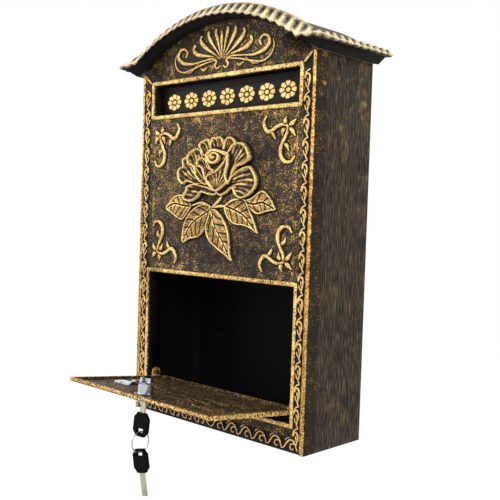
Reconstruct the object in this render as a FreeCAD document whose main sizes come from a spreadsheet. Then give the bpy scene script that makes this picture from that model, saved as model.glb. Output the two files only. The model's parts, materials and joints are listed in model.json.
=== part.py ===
"""Wall mounted post box: a carved cast front under a fluted roof, with a letter flap and a drop-down door.

Millimetres, X to the right, Y into the wall, Z up. The forms are worked out with z = 0 under the body, and
every finished piece is lowered by mount_height, so that the origin is the middle of the four wall holes.
The door is drawn closed about its hinge axis and turned by open_angle, which is how the box stands at rest.
"""
import math
import os
import re

import FreeCAD
import Part
import Sketcher

SIZES = {
    # body
    "body_width": 250,
    "eave_height": 375,
    "front_depth": 86,
    "mount_height": 190,
    "plate_wall": 3,
    "return_depth": 15.5,
    "return_wall": 3,
    "sheet_wall": 1.5,
    "flange_width": 14,
    "fit_gap": 0.3,
    "bead_radius": 2.9,
    "bead_inset": 2.9,
    "bead_sink": 0.5,
    # wall holes and the pieces that hold the body together
    "wall_hole_radius": 3,
    "wall_hole_pitch_x": 150,
    "wall_hole_pitch_z": 200,
    "joint_inset": 9,
    "joint_margin": 32,
    "screw_radius": 2,
    "screw_gap": 0.1,
    "screw_head_radius": 3.8,
    "screw_head_height": 2.4,
    "screw_reach": 7,
    "boss_radius": 4.4,
    "rivet_radius": 1.6,
    "rivet_head_radius": 3.2,
    "rivet_head_height": 1.2,
    # roof
    "arch_axis_height": 215,
    "vault_radius": 213,
    "vault_wall": 3.5,
    "cove_radius": 203,
    "crest_radius": 217,
    "roof_seat": 9,
    "visor_reach": 22.5,
    "rib_pitch": 10.5,
    "rib_count": 22,
    "rib_rise": 1.5,
    "eave_reach": 23.6,
    "eave_rise": 11.3,
    "flute_count": 8,
    "roof_boss_height": 9,
    "roof_screw_front": 60,
    "roof_screw_back": 20,
    # letter slot and flap
    "slot_half": 105,
    "slot_low": 329,
    "slot_high": 361.5,
    "slot_bead": 5,
    "throat_depth": 15,
    "throat_wall": 3,
    "flap_side_gap": 0.8,
    "flap_wall": 1.5,
    "flap_drop": 28,
    "flap_pin_radius": 1.5,
    "flap_barrel_radius": 2.6,
    "flap_pin_depth": 74.6,
    "flap_pin_drop": 3.2,
    "flap_pin_tail": 3,
    "clip_radius": 3,
    "clip_wall": 0.8,
    "stop_size": 2.5,
    "rosette_count": 7,
    "rosette_pitch": 27.5,
    "rosette_width": 23,
    "rosette_height": 18.4,
    "rosette_rise": 1.5,
    # door opening and door
    "door_half": 106.2,
    "sill_height": 27.3,
    "lintel_height": 156.2,
    "jamb_wall": 3,
    "jamb_depth": 6.7,
    "door_side_gap": 2.4,
    "door_end_gap": 0.8,
    "hinge_back": 76.7,
    "hinge_height": 42.4,
    "hinge_boss_radius": 6,
    "open_angle": 83.7,
    "door_face": 8.6,
    "door_rim": 4.6,
    "door_wall": 1.3,
    "rim_width": 3.2,
    "edge_rim_width": 4.2,
    "edge_bevel": 1.2,
    "ear_radius": 5,
    "ear_wall": 3,
    "pin_radius": 2,
    "pin_gap": 0.05,
    "pin_tail": 2,
    "pin_head_radius": 3.4,
    "pin_head_height": 1.5,
    "stop_depth": 6,
    "stop_back": 60,
    "stop_low": 36.9,
    "stop_height": 3.4,
    # lock, in the door's own frame
    "lock_inset": 14.5,
    "flange_radius": 9.5,
    "flange_height": 2,
    "barrel_radius": 7.5,
    "barrel_top": 5.6,
    "plug_radius": 5.8,
    "plug_gap": 0.05,
    "plug_sink": 0.6,
    "thread_gap": 0.1,
    "ring_nut_radius": 10,
    "ring_nut_height": 3.2,
    "ring_washer_radius": 10,
    "ring_washer_height": 0.8,
    "stub_size": 6,
    "stub_gap": 0.05,
    "cam_wall": 1.6,
    "cam_lift": 0.3,
    "cam_width": 12,
    "cam_root": 8,
    "cam_bend_start": 13,
    "cam_bend_end": 20,
    "cam_reach": 41,
    "cam_drop": 5.1,
    "cam_washer_radius": 6.5,
    "cam_washer_height": 0.8,
    "cam_nut_radius": 6,
    "cam_nut_height": 3,
    # keys
    "keyway_width": 7,
    "keyway_height": 2.2,
    "key_width": 6.6,
    "key_wall": 1.8,
    "key_insert": 14,
    "key_neck": 12,
    "bow_width": 20.6,
    "bow_length": 22.6,
    "bow_wall": 3,
    "bow_shoulder": 5,
    "eyelet_width": 9.5,
    "eyelet_height": 4,
    "eyelet_margin": 3.7,
    "wire_radius": 0.6,
    "wire_gap": 0.3,
    "ring_radius": 10,
    "blade_sink": 6,
    "spare_blade": 21.5,
    "spare_margin": 2.5,
    "spare_tilt": 13,
    # carving
    "vine_height": 1.5,
    "vine_width": 1.9,
    "vine_pitch": 20.8,
    "hem_pitch": 19.6,
}

X_AXIS = FreeCAD.Vector(1, 0, 0)
Y_AXIS = FreeCAD.Vector(0, 1, 0)
NO_TURN = FreeCAD.Rotation()
TURNS = {
    "X": FreeCAD.Rotation(Y_AXIS, 90),
    "Y": FreeCAD.Rotation(X_AXIS, -90),
    "Z": NO_TURN,
}
WORD = re.compile(r"[a-z][a-z_0-9]*")

os.makedirs("parts", exist_ok=True)
doc = FreeCAD.newDocument("PostBox")
sheet = doc.addObject("Spreadsheet::Sheet", "Sizes")
for row, (name, number) in enumerate(SIZES.items(), start=1):
    sheet.set(f"A{row}", name)
    sheet.set(f"B{row}", str(number))
    sheet.setAlias(f"B{row}", name)
doc.recompute()


def formula(text):
    """Write every size name in a text as a cell of the sheet."""
    return WORD.sub(lambda found: f"Sizes.{found[0]}" if found[0] in SIZES else found[0], text)


def value(text):
    """Work out a formula over the sheet's sizes."""
    return float(sheet.evalExpression(formula(text)))


def make(kind, name, **formulas):
    """Add an object and bind its properties to formulas."""
    item = doc.addObject(kind, name)
    for key, text in formulas.items():
        item.setExpression(key, formula(text))
    return item


def place(item, spot):
    """Bind an object's place to three formulas."""
    for letter, text in zip("xyz", spot):
        item.setExpression(f"Placement.Base.{letter}", formula(text))
    return item


def box(name, low, extent):
    """Block from its lowest corner and its three lengths."""
    item = make("Part::Box", name, Length=extent[0], Width=extent[1], Height=extent[2])
    return place(item, low)


def wide_box(name, half_width, low_y, low_z, depth, height):
    """Block that is centred on x = 0."""
    return box(name, (f"-({half_width})", low_y, low_z), (f"2 * ({half_width})", depth, height))


def rod(name, axis, start, radius, length):
    """Round bar from its starting point along +axis."""
    item = make("Part::Cylinder", name, Radius=radius, Height=length)
    item.Placement = FreeCAD.Placement(FreeCAD.Vector(), TURNS[axis])
    return place(item, start)


def fuse(name, *parts, refine=True):
    """Join parts to one."""
    item = doc.addObject("Part::MultiFuse", name)
    item.Shapes = list(parts)
    item.Refine = refine
    return item


def cut(name, base, *tools, refine=True):
    """Take tools out of a base."""
    item = doc.addObject("Part::Cut", name)
    item.Base = base
    item.Tool = tools[0] if len(tools) == 1 else fuse(f"{name}_tools", *tools, refine=False)
    item.Refine = refine
    return item


def common(name, *parts):
    """Keep what all parts share."""
    item = doc.addObject("Part::MultiCommon", name)
    item.Shapes = list(parts)
    return item


def group(name, *parts):
    """Hold like pieces together as separate solids."""
    item = doc.addObject("Part::Compound", name)
    item.Links = list(parts)
    return item


def shape(name, solid):
    """Add an object whose form was worked out here."""
    item = doc.addObject("Part::Feature", name)
    item.Shape = solid
    return item


def both(name, build):
    """Build the left and the right copy of something; build takes a name and a sign."""
    return [build(f"{name}_left", "-1"), build(f"{name}_right", "1")]


FINISHED = []


def finish(item, label):
    """Lower a finished piece to the mount's origin and give it its name."""
    place(item, ("0", "0", "-mount_height"))
    item.Label = label
    FINISHED.append(item)


def finish_on_door(item, label, rise="0"):
    """Set a finished piece, drawn on the closed door, where the open door carries it."""
    item.Placement = FreeCAD.Placement(FreeCAD.Vector(), FreeCAD.Rotation(X_AXIS, 45))
    item.setExpression("Placement.Rotation.Angle", formula("open_angle"))
    y_text = f"-hinge_back - ({rise}) * sin(open_angle)"
    z_text = f"hinge_height - mount_height + ({rise}) * cos(open_angle)"
    place(item, ("0", y_text, z_text))
    item.Label = label
    FINISHED.append(item)


def outline(body, name, role, corners):
    """Closed sketch on an origin plane of a body, each corner bound to two formulas."""
    item = body.newObject("Sketcher::SketchObject", name)
    plane = next(entry for entry in body.Origin.OriginFeatures if entry.Role == role)
    item.AttachmentSupport = [(plane, "")]
    item.MapMode = "FlatFace"
    spots = [FreeCAD.Vector(value(a), value(b), 0) for a, b in corners]
    for index, spot in enumerate(spots):
        item.addGeometry(Part.LineSegment(spot, spots[(index + 1) % len(spots)]), False)
    for index, (a, b) in enumerate(corners):
        item.addConstraint(Sketcher.Constraint("Coincident", index, 2, (index + 1) % len(spots), 1))
        for kind, text, number in (("DistanceX", a, spots[index].x), ("DistanceY", b, spots[index].y)):
            key = f"{kind}_{index}"
            place_in = item.addConstraint(Sketcher.Constraint(kind, -1, 1, index, 1, number))
            item.renameConstraint(place_in, key)
            item.setExpression(f"Constraints.{key}", formula(text))
    return item


def padded(name, role, corners, length):
    """Body made by padding an outline to both sides of its plane."""
    body = doc.addObject("PartDesign::Body", name)
    profile = outline(body, f"{name}_outline", role, corners)
    pad = body.newObject("PartDesign::Pad", f"{name}_pad")
    pad.Profile = profile
    pad.Midplane = True
    pad.setExpression("Length", formula(length))
    body.Tip = pad
    return body


def turned(name, corners):
    """Body made by revolving an outline of (radius, y) corners about Y."""
    body = doc.addObject("PartDesign::Body", name)
    profile = outline(body, f"{name}_outline", "XY_Plane", corners)
    turn = body.newObject("PartDesign::Revolution", f"{name}_turn")
    turn.Profile = profile
    turn.ReferenceAxis = (profile, ["V_Axis"])
    turn.Angle = 360
    body.Tip = turn
    return body


# Faceted forms

def flat_face(corners):
    """Face over flat corners, or nothing where they have no area."""
    sides = [corners[1] - corners[0], corners[2] - corners[0]]
    if len(corners) == 3 and sides[0].cross(sides[1]).Length < 1e-6:
        return []
    return [Part.Face(Part.makePolygon([*corners, corners[0]]))]


def tube(stations):
    """Solid through stations, which are closed sections with equally many corners."""
    faces = flat_face(stations[0]) + flat_face(stations[-1])
    for near, far in zip(stations, stations[1:]):
        for index in range(len(near)):
            following = (index + 1) % len(near)
            faces += flat_face([near[index], near[following], far[following]])
            faces += flat_face([near[index], far[following], far[index]])
    return closed(faces)


def closed(faces):
    """Sew faces to a solid with its faces outward."""
    shell = Part.makeShell(faces)
    shell.sewShape()
    solid = Part.Solid(shell.Shells[0] if shell.Shells else shell)
    if solid.Volume < 0:
        solid.reverse()
    return solid


def smooth(points, steps):
    """Curve through points, as steps pieces between each two."""
    count = len(points)
    rows = []
    for index in range(count - 1):
        p = [points[max(0, min(count - 1, index + shift))] for shift in (-1, 0, 1, 2)]
        for step in range(steps):
            t = step / steps
            rows.append([
                0.5 * (2 * b + (c - a) * t + (2 * a - 5 * b + 4 * c - d) * t * t
                       + (3 * b - a - 3 * c + d) * t ** 3)
                for a, b, c, d in zip(*p)
            ])
    rows.append(list(points[-1]))
    return rows


def on_front(across, up, proud):
    """Point on the face of the front casting."""
    return FreeCAD.Vector(across, -value("front_depth") - proud, up)


def on_door(across, up, proud):
    """Point on the inner face of the closed door."""
    return FreeCAD.Vector(across, value("door_wall - door_face") + proud, up)


def ridge(points, face=on_front, steps=2):
    """Carved stroke with a flat foot; points are (across, up, half width, height)."""
    rows = smooth(points, steps)
    left = []
    crest = []
    right = []
    for index, (across, up, half, height) in enumerate(rows):
        before = rows[max(0, index - 1)]
        after = rows[min(len(rows) - 1, index + 1)]
        run = math.hypot(after[0] - before[0], after[1] - before[1])
        aside = (before[1] - after[1]) / run * half
        along = (after[0] - before[0]) / run * half
        left.append(face(across - aside, up - along, 0))
        crest.append(face(across, up, height))
        right.append(face(across + aside, up + along, 0))
    faces = flat_face([*left, *reversed(right)])
    for end in (0, -1):
        faces += flat_face([left[end], crest[end], right[end]])
    for index in range(len(rows) - 1):
        for foot in (left, right):
            faces += flat_face([foot[index], foot[index + 1], crest[index + 1]])
            faces += flat_face([foot[index], crest[index + 1], crest[index]])
    return closed(faces)


def dish(edge, middle, rim, floor, face=on_front, inset=0.2):
    """Petal or rosette with a flat foot: a raised rim inside an edge, hollow towards its middle."""
    low = [face(a, b, 0) for a, b in edge]
    high = [face(a + (middle[0] - a) * inset, b + (middle[1] - b) * inset, rim) for a, b in edge]
    centre = face(middle[0], middle[1], floor)
    faces = flat_face(low)
    for index in range(len(edge)):
        following = (index + 1) % len(edge)
        faces += flat_face([low[index], low[following], high[following]])
        faces += flat_face([low[index], high[following], high[index]])
        faces += flat_face([high[index], high[following], centre])
    return closed(faces)


def petal(edge, rim, floor):
    """Dish with its middle in the middle of its edge."""
    middle = [sum(spot[axis] for spot in edge) / len(edge) for axis in (0, 1)]
    return dish(edge, middle, rim, floor)


def mirrored(points):
    """Same points on the other side of x = 0."""
    return [(-spot[0], *spot[1:]) for spot in points]


def joined(solids):
    """One solid of overlapping ones."""
    return solids[0].multiFuse(solids[1:]) if len(solids) > 1 else solids[0]


# Carving of the front

def leaf(base, middle, tip, half, height):
    """Pointed leaf from its base to its tip."""
    return ridge([
        (*base, half * 0.3, height * 0.5),
        (*middle, half, height),
        (tip[0] * 0.75 + middle[0] * 0.25, tip[1] * 0.75 + middle[1] * 0.25, half * 0.5, height * 0.8),
        (*tip, 0.4, 0.6),
    ])


def rose():
    """Open bloom over five leaves."""
    leaves = [
        leaf((-34, 236), (-56, 229), (-79, 227), 12, 4),
        leaf((-6, 234), (-29, 214), (-49, 191), 12, 4.5),
        leaf((0, 236), (6, 208), (24, 176), 13, 5),
        leaf((10, 240), (36, 222), (60, 205), 11, 4.5),
        leaf((36, 244), (60, 236), (81, 228), 10.5, 4),
    ]
    petals = [
        petal([(-44, 256), (-43, 272), (-47, 282), (-55, 280), (-59, 268), (-55, 254)], 6, 3),
        petal([(-47, 241), (-42, 254), (-20, 256), (0, 252), (2, 240), (-20, 233), (-34, 238)], 7.5, 5),
        petal([(24, 246), (24, 266), (40, 271), (53, 267), (59, 256), (52, 244), (38, 240)], 7, 4),
        petal([(-14, 266), (-20, 286), (-30, 291), (-40, 288), (-43, 276), (-36, 262)], 8, 5),
        petal([(16, 270), (20, 288), (31, 295), (43, 291), (49, 281), (42, 268), (26, 264)], 8, 5),
        petal([(-26, 286), (-23, 298), (-15, 302), (-6, 299), (-4, 286)], 8, 6),
        petal([(-7, 287), (-4, 299), (5, 303), (14, 299), (17, 286)], 8.6, 6),
        petal([(13, 286), (17, 298), (23, 299), (28, 293), (25, 283)], 8, 6),
        petal([(-27, 268), (-24, 278), (-12, 283), (-4, 272), (-10, 262)], 9.5, 7.5),
        petal([(-14, 262), (-8, 272), (6, 272), (18, 270), (22, 260), (14, 248), (3, 241), (-8, 247)], 10, 8),
        petal([(-13, 280), (-9, 289), (0, 291), (10, 289), (14, 280), (8, 271), (0, 269), (-9, 272)], 12, 10),
    ]
    heart = ridge([(6, 283, 1.4, 11), (0, 287, 1.6, 13), (-5, 281, 1.8, 13), (1, 276, 1.8, 13)])
    return joined([*leaves, *petals, heart])


def corner_sprig(side, top):
    """Scrolled sprig in one corner of the rose panel; side and top are 1 or -1."""
    corner_x = 101
    corner_z = 243 + top * 75
    strokes = [
        [(1, 2, 1.5, 1.5), (13, 1, 2.4, 2.6), (26, 5, 2.2, 2.6), (36, 12, 1.5, 2), (38, 18, 0.8, 1.4)],
        [(1, 2, 1.5, 1.5), (1, 15, 2.4, 2.6), (4, 29, 2.2, 2.6), (9, 42, 1.2, 1.6)],
        [(3, 4, 1.5, 1.6), (11, 11, 3.4, 3.2), (20, 22, 0.8, 1.2)],
        [(14, 2, 1.2, 1.6), (21, 10, 2.2, 2.6), (30, 17, 0.8, 1.2)],
        [(2, 16, 1.2, 1.6), (9, 22, 2.2, 2.6), (13, 34, 0.8, 1.2)],
    ]
    return joined([
        ridge([(side * (corner_x - u), corner_z - top * v, half, height) for u, v, half, height in stroke])
        for stroke in strokes
    ])


def palmette():
    """Fan of nine lobes between two horns."""
    lobes = [ridge([(0, 384, 1.4, 1.5), (0, 398, 3.6, 3.4), (0, 411, 0.8, 1.2)])]
    pairs = [
        [(3, 384, 1.2, 1.5), (8, 399, 2.6, 3), (13, 409.5, 2.4, 2.6), (10, 411.5, 1, 1.2)],
        [(5, 383, 1.2, 1.5), (15, 396, 2.6, 3), (23.5, 404.5, 2.2, 2.6), (23, 409, 0.9, 1.2)],
        [(7, 382, 1.2, 1.5), (21, 391, 2.6, 3), (33, 399, 2.4, 2.6), (31.5, 402, 1, 1.2)],
        [(9, 381, 1.2, 1.5), (25, 384.5, 2.4, 2.8), (38, 390, 2.2, 2.4), (39, 394, 1, 1.2)],
        [(3, 379.5, 1.2, 1.5), (28, 379, 1.8, 2.2), (50, 373.5, 2.4, 2.6), (64, 378, 2.6, 3),
         (67, 389, 2.4, 2.8), (60, 396.5, 2, 2.4), (54.5, 391.5, 1.4, 1.8)],
        [(42, 377, 1, 1.4), (56, 382, 1.8, 2.2), (60, 390, 0.8, 1.4)],
        [(0, 380, 1.2, 1.6), (9, 376.5, 1.6, 2), (10, 371.5, 1.4, 1.8), (5, 372.5, 1, 1.4)],
    ]
    for points in pairs:
        lobes += [ridge(points), ridge(mirrored(points))]
    return joined(lobes)


def side_vines():
    """Running scroll up both edges of the front."""
    rise = value("vine_height")
    half = value("vine_width") / 2
    pitch = value("vine_pitch")
    outer = value("body_width / 2 - bead_inset - bead_radius")
    count = int((value("eave_height") - 8) // pitch)
    solids = []
    for index in range(count):
        foot = 6 + index * pitch
        scroll = [(outer - 6.6, foot + 2, half * 0.6, rise * 0.7), (outer - 1.8, foot + 4, half, rise),
                  (outer - 0.6, foot + 9, half, rise), (outer - 4, foot + 14, half, rise),
                  (outer - 7.4, foot + 16.5, half * 0.5, rise * 0.6)]
        bud = [(outer - 5.2, foot + 7, half * 0.5, rise * 0.6), (outer - 4.2, foot + 9.4, half * 1.3, rise),
               (outer - 5.4, foot + 11.4, half * 0.5, rise * 0.6)]
        stem = [(outer - 6.4, foot + 16, half * 0.5, rise * 0.6), (outer - 2, foot + 19, half * 0.8, rise),
                (outer - 0.8, foot + pitch + 0.6, half * 0.5, rise * 0.6)]
        for points in (scroll, bud, stem):
            solids += [ridge(points, steps=1), ridge(mirrored(points), steps=1)]
    return solids


def hem_vines():
    """Running scroll along the foot of the front."""
    rise = value("vine_height")
    half = value("vine_width") / 2
    pitch = value("hem_pitch")
    count = int(value("body_width / 2 - 12") // pitch)
    middle = value("sill_height") / 2 - 5.6
    solids = []
    for index in range(count):
        foot = 6 + index * pitch
        wave = [(foot, middle - 4.5, half * 0.7, rise * 0.7), (foot + 5, middle + 1.5, half, rise),
                (foot + 10, middle + 5, half, rise), (foot + 15, middle + 1.5, half, rise),
                (foot + pitch, middle - 4.5, half * 0.7, rise * 0.7)]
        curl = [(foot + 11.6, middle - 1, half * 0.5, rise * 0.6), (foot + 8.6, middle - 1, half * 1.3, rise),
                (foot + 7.4, middle - 4, half * 0.5, rise * 0.6)]
        for points in (wave, curl):
            solids += [ridge(points, steps=1), ridge(mirrored(points), steps=1)]
    return solids


# Front casting

def arched(name, radius, front, depth, half_width, foot):
    """Sheet under the roof's arch: as wide as half_width on each side, from foot up to the arch."""
    disc = rod(f"{name}_disc", "Y", ("0", front, "arch_axis_height"), radius, depth)
    field = wide_box(f"{name}_field", half_width, front, foot, depth, f"arch_axis_height + ({radius}) - ({foot})")
    return common(name, disc, field)


def frame_beads(name, half_width, low, high, width):
    """Round bead round an opening, half sunk in the plate."""
    radius = f"({width}) / 2"
    depth = "-front_depth + bead_sink"
    left = f"-({half_width}) - ({radius})"
    right = f"({half_width}) + ({radius})"
    bottom = f"({low}) - ({radius})"
    top = f"({high}) + ({radius})"
    beads = []
    for side, across in (("left", left), ("right", right)):
        beads.append(rod(f"{name}_{side}", "Z", (across, depth, bottom), radius, f"({top}) - ({bottom})"))
        for level, height in (("low", bottom), ("high", top)):
            knot = make("Part::Sphere", f"{name}_{side}_{level}", Radius=radius)
            beads.append(place(knot, (across, depth, height)))
    for level, height in (("low", bottom), ("high", top)):
        beads.append(rod(f"{name}_{level}", "X", (left, depth, height), radius, f"({right}) - ({left})"))
    return beads


def corner_bead(name, sign):
    """Bead up one edge of the front."""
    across = f"{sign} * (body_width / 2 - bead_inset)"
    return rod(name, "Z", (across, "-front_depth + bead_sink", "0"), "bead_radius", "eave_height - fit_gap")


def side_return(name, sign):
    """Flange that turns back along one side."""
    low = f"{sign} * (body_width - return_wall) / 2 - return_wall / 2"
    extent = ("return_wall", "return_depth - plate_wall", "eave_height - fit_gap")
    return box(name, (low, "plate_wall - front_depth", "0"), extent)


def joint_heights():
    """Heights of the screws and rivets on each side."""
    return ["joint_margin", "eave_height / 2", "eave_height - joint_margin"]


def front_boss(name, sign, height):
    """Boss on the back of the plate for one front screw."""
    across = f"{sign} * (body_width / 2 - joint_inset)"
    low = (across, "plate_wall - front_depth", height)
    return rod(name, "Y", low, "boss_radius", "return_depth - plate_wall")


def front_bore(name, sign, height):
    """Bore of one front screw."""
    across = f"{sign} * (body_width / 2 - joint_inset)"
    low = (across, "return_depth - front_depth - screw_reach", height)
    return rod(name, "Y", low, "screw_radius + screw_gap", "screw_reach + sheet_wall")


def throat():
    """Walls of the letter slot behind the plate."""
    height = "slot_high - slot_low"
    start = "plate_wall - front_depth"
    outer = wide_box("throat_outer", "slot_half + throat_wall", start, "slot_low - throat_wall", "throat_depth",
                     f"{height} + 2 * throat_wall")
    inner = wide_box("throat_inner", "slot_half", start, "slot_low", "throat_depth", height)
    pin_low = ("-slot_half - 2 * throat_wall", "-flap_pin_depth", "slot_high - flap_pin_drop")
    bore = rod("throat_bore", "X", pin_low, "flap_pin_radius + pin_gap", "2 * slot_half + 4 * throat_wall")
    walls = cut("throat_walls", outer, inner, bore)
    stops = both("flap_stop", lambda name, sign: box(
        name,
        (f"{sign} * (slot_half - stop_size / 2) - stop_size / 2",
         "-flap_pin_depth - flap_wall - fit_gap - stop_size", "slot_low"),
        ("stop_size", "stop_size", "2 * stop_size")))
    return [walls, *stops]


def jamb(name, sign):
    """Lip of the door opening on one side, with the hinge's boss and the door's stop."""
    low = f"{sign} * (door_half + jamb_wall / 2) - jamb_wall / 2"
    start = "plate_wall - front_depth"
    lip = box(f"{name}_lip", (low, start, "sill_height - plate_wall"),
              ("jamb_wall", "jamb_depth", "lintel_height - sill_height + 2 * plate_wall"))
    boss = rod(f"{name}_boss", "X", (low, "-hinge_back", "hinge_height"), "hinge_boss_radius", "jamb_wall")
    bracket = box(f"{name}_bracket", (low, start, "stop_low"),
                  ("jamb_wall", "front_depth - plate_wall - stop_back", "stop_height"))
    stop_low = f"{sign} * (door_half - door_side_gap / 2 - ear_wall / 2) - door_side_gap / 2 - ear_wall / 2"
    stop = box(f"{name}_stop", (stop_low, "-stop_back - stop_depth", "stop_low"),
               ("door_side_gap + ear_wall", "stop_depth", "stop_height"))
    return fuse(name, lip, boss, bracket, stop)


def build_front():
    """Cast front with its frames, lips, bosses and carving."""
    half = "body_width / 2"
    plate = wide_box("face_plate", half, "-front_depth", "0", "plate_wall", "eave_height - fit_gap")
    inner_radius = "vault_radius - vault_wall - fit_gap"
    gable = arched("gable", inner_radius, "-front_depth", "plate_wall", f"{half} - roof_seat - fit_gap",
                   "slot_high - slot_bead")
    hem = wide_box("hem_return", half, "plate_wall - front_depth", "0", "return_depth - plate_wall", "return_wall")
    slot = wide_box("slot_opening", "slot_half", "-front_depth - slot_bead", "slot_low", "2 * slot_bead",
                    "slot_high - slot_low")
    doorway = wide_box("door_opening", "door_half", "-front_depth - slot_bead", "sill_height", "2 * slot_bead",
                       "lintel_height - sill_height")
    blank = cut("pierced_face", fuse("solid_face", plate, gable), slot, doorway)
    lintel = wide_box("strike_lip", "door_half + jamb_wall", "plate_wall - front_depth", "lintel_height",
                      "jamb_depth", "plate_wall")
    pieces = [blank, hem, lintel, *throat(), *both("corner_bead", corner_bead), *both("side_return", side_return)]
    pieces += frame_beads("slot_bead", "slot_half", "slot_low", "slot_high", "slot_bead")
    pieces += frame_beads("door_bead", "door_half", "sill_height", "lintel_height", "slot_bead")
    pieces += both("jamb", jamb)
    bores = []
    for index, height in enumerate(joint_heights()):
        pieces += both(f"front_boss_{index}", lambda name, sign: front_boss(name, sign, height))
        bores += both(f"front_bore_{index}", lambda name, sign: front_bore(name, sign, height))
    bores.append(rod("hinge_bore", "X", ("-door_half - 2 * jamb_wall", "-hinge_back", "hinge_height"),
                     "pin_radius + pin_gap", "2 * door_half + 4 * jamb_wall"))
    body = cut("plain_front", fuse("front_body", *pieces), *bores)
    shoulder = [(110, 366, 2, 2), (115, 370, 1.8, 2), (120.4, 374, 1.6, 1.6)]
    carvings = {
        "rose": rose(),
        "palmette": palmette(),
        "sprigs": joined([corner_sprig(side, top) for side in (-1, 1) for top in (-1, 1)]),
        "side_vines": joined(side_vines()),
        "hem_vines": joined(hem_vines()),
        "shoulders": joined([ridge(shoulder, steps=1), ridge(mirrored(shoulder), steps=1)]),
    }
    front = body
    for name, solid in carvings.items():
        front = fuse(f"front_with_{name}", front, shape(name, solid), refine=False)
    finish(front, "front_casting")


def build_front_screws():
    """Screws that hold the sheet's flanges to the front."""
    screws = []
    for index, height in enumerate(joint_heights()):
        def screw(name, sign):
            across = f"{sign} * (body_width / 2 - joint_inset)"
            seat = "return_depth - front_depth + sheet_wall"
            shank = rod(f"{name}_shank", "Y", (across, f"{seat} - sheet_wall - screw_reach + fit_gap", height),
                        "screw_radius", "screw_reach + sheet_wall - fit_gap")
            head = rod(f"{name}_head", "Y", (across, seat, height), "screw_head_radius", "screw_head_height")
            return fuse(name, shank, head)
        screws += both(f"front_screw_{index}", screw)
    finish(group("front_screw_set", *screws), "front_screws")


# Body

def build_shell():
    """Folded sheet that makes the sides and the bottom, with its flanges."""
    half = "body_width / 2"
    front = "return_depth - front_depth"
    depth = "front_depth - return_depth"
    pieces = [wide_box("shell_bottom", half, front, "0", depth, "sheet_wall")]
    back = "-2 * sheet_wall"
    for level, start in (("front", front), ("back", back)):
        pieces.append(wide_box(f"shell_hem_{level}", half, start, "0", "sheet_wall", "flange_width"))
    for side, sign in (("left", "-1"), ("right", "1")):
        wall_low = f"{sign} * ({half} - sheet_wall / 2) - sheet_wall / 2"
        flange_low = f"{sign} * ({half} - flange_width / 2) - flange_width / 2"
        pieces.append(box(f"shell_{side}", (wall_low, front, "0"), ("sheet_wall", depth, "eave_height")))
        for level, start in (("front", front), ("back", back)):
            pieces.append(box(f"shell_{side}_{level}", (flange_low, start, "0"),
                              ("flange_width", "sheet_wall", "eave_height")))
        pieces.append(box(f"shell_{side}_top", (flange_low, front, "eave_height - sheet_wall"),
                          ("flange_width", f"{depth} - sheet_wall", "sheet_wall")))
    bores = []
    for index, height in enumerate(joint_heights()):
        bores += both(f"shell_bore_{index}", lambda name, sign: rod(
            name, "Y", (f"{sign} * (body_width / 2 - joint_inset)", "-front_depth", height),
            "screw_radius + screw_gap", "front_depth"))
    for level in ("front", "back"):
        bores += both(f"shell_roof_bore_{level}", lambda name, sign: rod(
            name, "Z", (f"{sign} * (body_width / 2 - joint_inset)", f"-roof_screw_{level}",
                        "eave_height - 2 * sheet_wall"), "screw_radius + screw_gap", "4 * sheet_wall"))
    finish(cut("shell", fuse("shell_sheet", *pieces), *bores), "body_shell")


def build_back():
    """Flat back plate with the four wall holes."""
    half = "body_width / 2 - sheet_wall - fit_gap / 2"
    low = wide_box("back_low", half, "-sheet_wall", "sheet_wall", "sheet_wall", "eave_height - 2 * sheet_wall")
    gable = arched("back_gable", "vault_radius - vault_wall - fit_gap", "-sheet_wall", "sheet_wall",
                   "body_width / 2 - roof_seat - fit_gap", "eave_height - flange_width")
    bores = []
    for index, height in enumerate(joint_heights()):
        bores += both(f"back_bore_{index}", lambda name, sign: rod(
            name, "Y", (f"{sign} * (body_width / 2 - joint_inset)", "-2 * sheet_wall", height),
            "rivet_radius", "4 * sheet_wall"))
    for level, up in (("low", "-1"), ("high", "1")):
        bores += both(f"wall_hole_{level}", lambda name, sign: rod(
            name, "Y", (f"{sign} * wall_hole_pitch_x / 2", "-2 * sheet_wall",
                        f"mount_height + {up} * wall_hole_pitch_z / 2"), "wall_hole_radius", "4 * sheet_wall"))
    finish(cut("back", fuse("back_sheet", low, gable), *bores), "back_plate")


def build_rivets():
    """Rivets through the back plate and the sheet's rear flanges."""
    rivets = []
    for index, height in enumerate(joint_heights()):
        def rivet(name, sign):
            across = f"{sign} * (body_width / 2 - joint_inset)"
            shank = rod(f"{name}_shank", "Y", (across, "-2 * sheet_wall - rivet_head_height", height),
                        "rivet_radius", "2 * sheet_wall + rivet_head_height")
            head = rod(f"{name}_head", "Y", (across, "-2 * sheet_wall - rivet_head_height", height),
                       "rivet_head_radius", "rivet_head_height")
            return fuse(name, shank, head)
        rivets += both(f"rivet_{index}", rivet)
    finish(group("rivet_set", *rivets), "back_rivets")


# Roof

def arch_height(radius, across):
    """Height of the roof's arch of one radius at a distance from the middle."""
    return value("arch_axis_height") + math.sqrt(radius ** 2 - across ** 2)


def visor_section(across, crest):
    """Section of the front eave at a distance from the middle, as (y, z) rows from the inside round."""
    back = -value("front_depth + fit_gap")
    reach = value("visor_reach - fit_gap")
    cove = value("cove_radius")
    vault = value("vault_radius")
    high = value("crest_radius")
    rib = value("rib_rise") if crest else 0.0
    lip_radius = cove + 2.4 - rib
    rows = [
        (0, cove), (2, cove), (5.7, cove), (12.5, cove + 6), (reach - 1.6, lip_radius),
        (reach + rib - 1.5, lip_radius + 1.2), (reach - 9.5, high - 2.4 + rib * 0.7), (reach - 12.5, high),
        (6, high), (3.5, vault + 0.2), (0, vault),
    ]
    return [FreeCAD.Vector(across, back - out, arch_height(radius, across)) for out, radius in rows]


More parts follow.
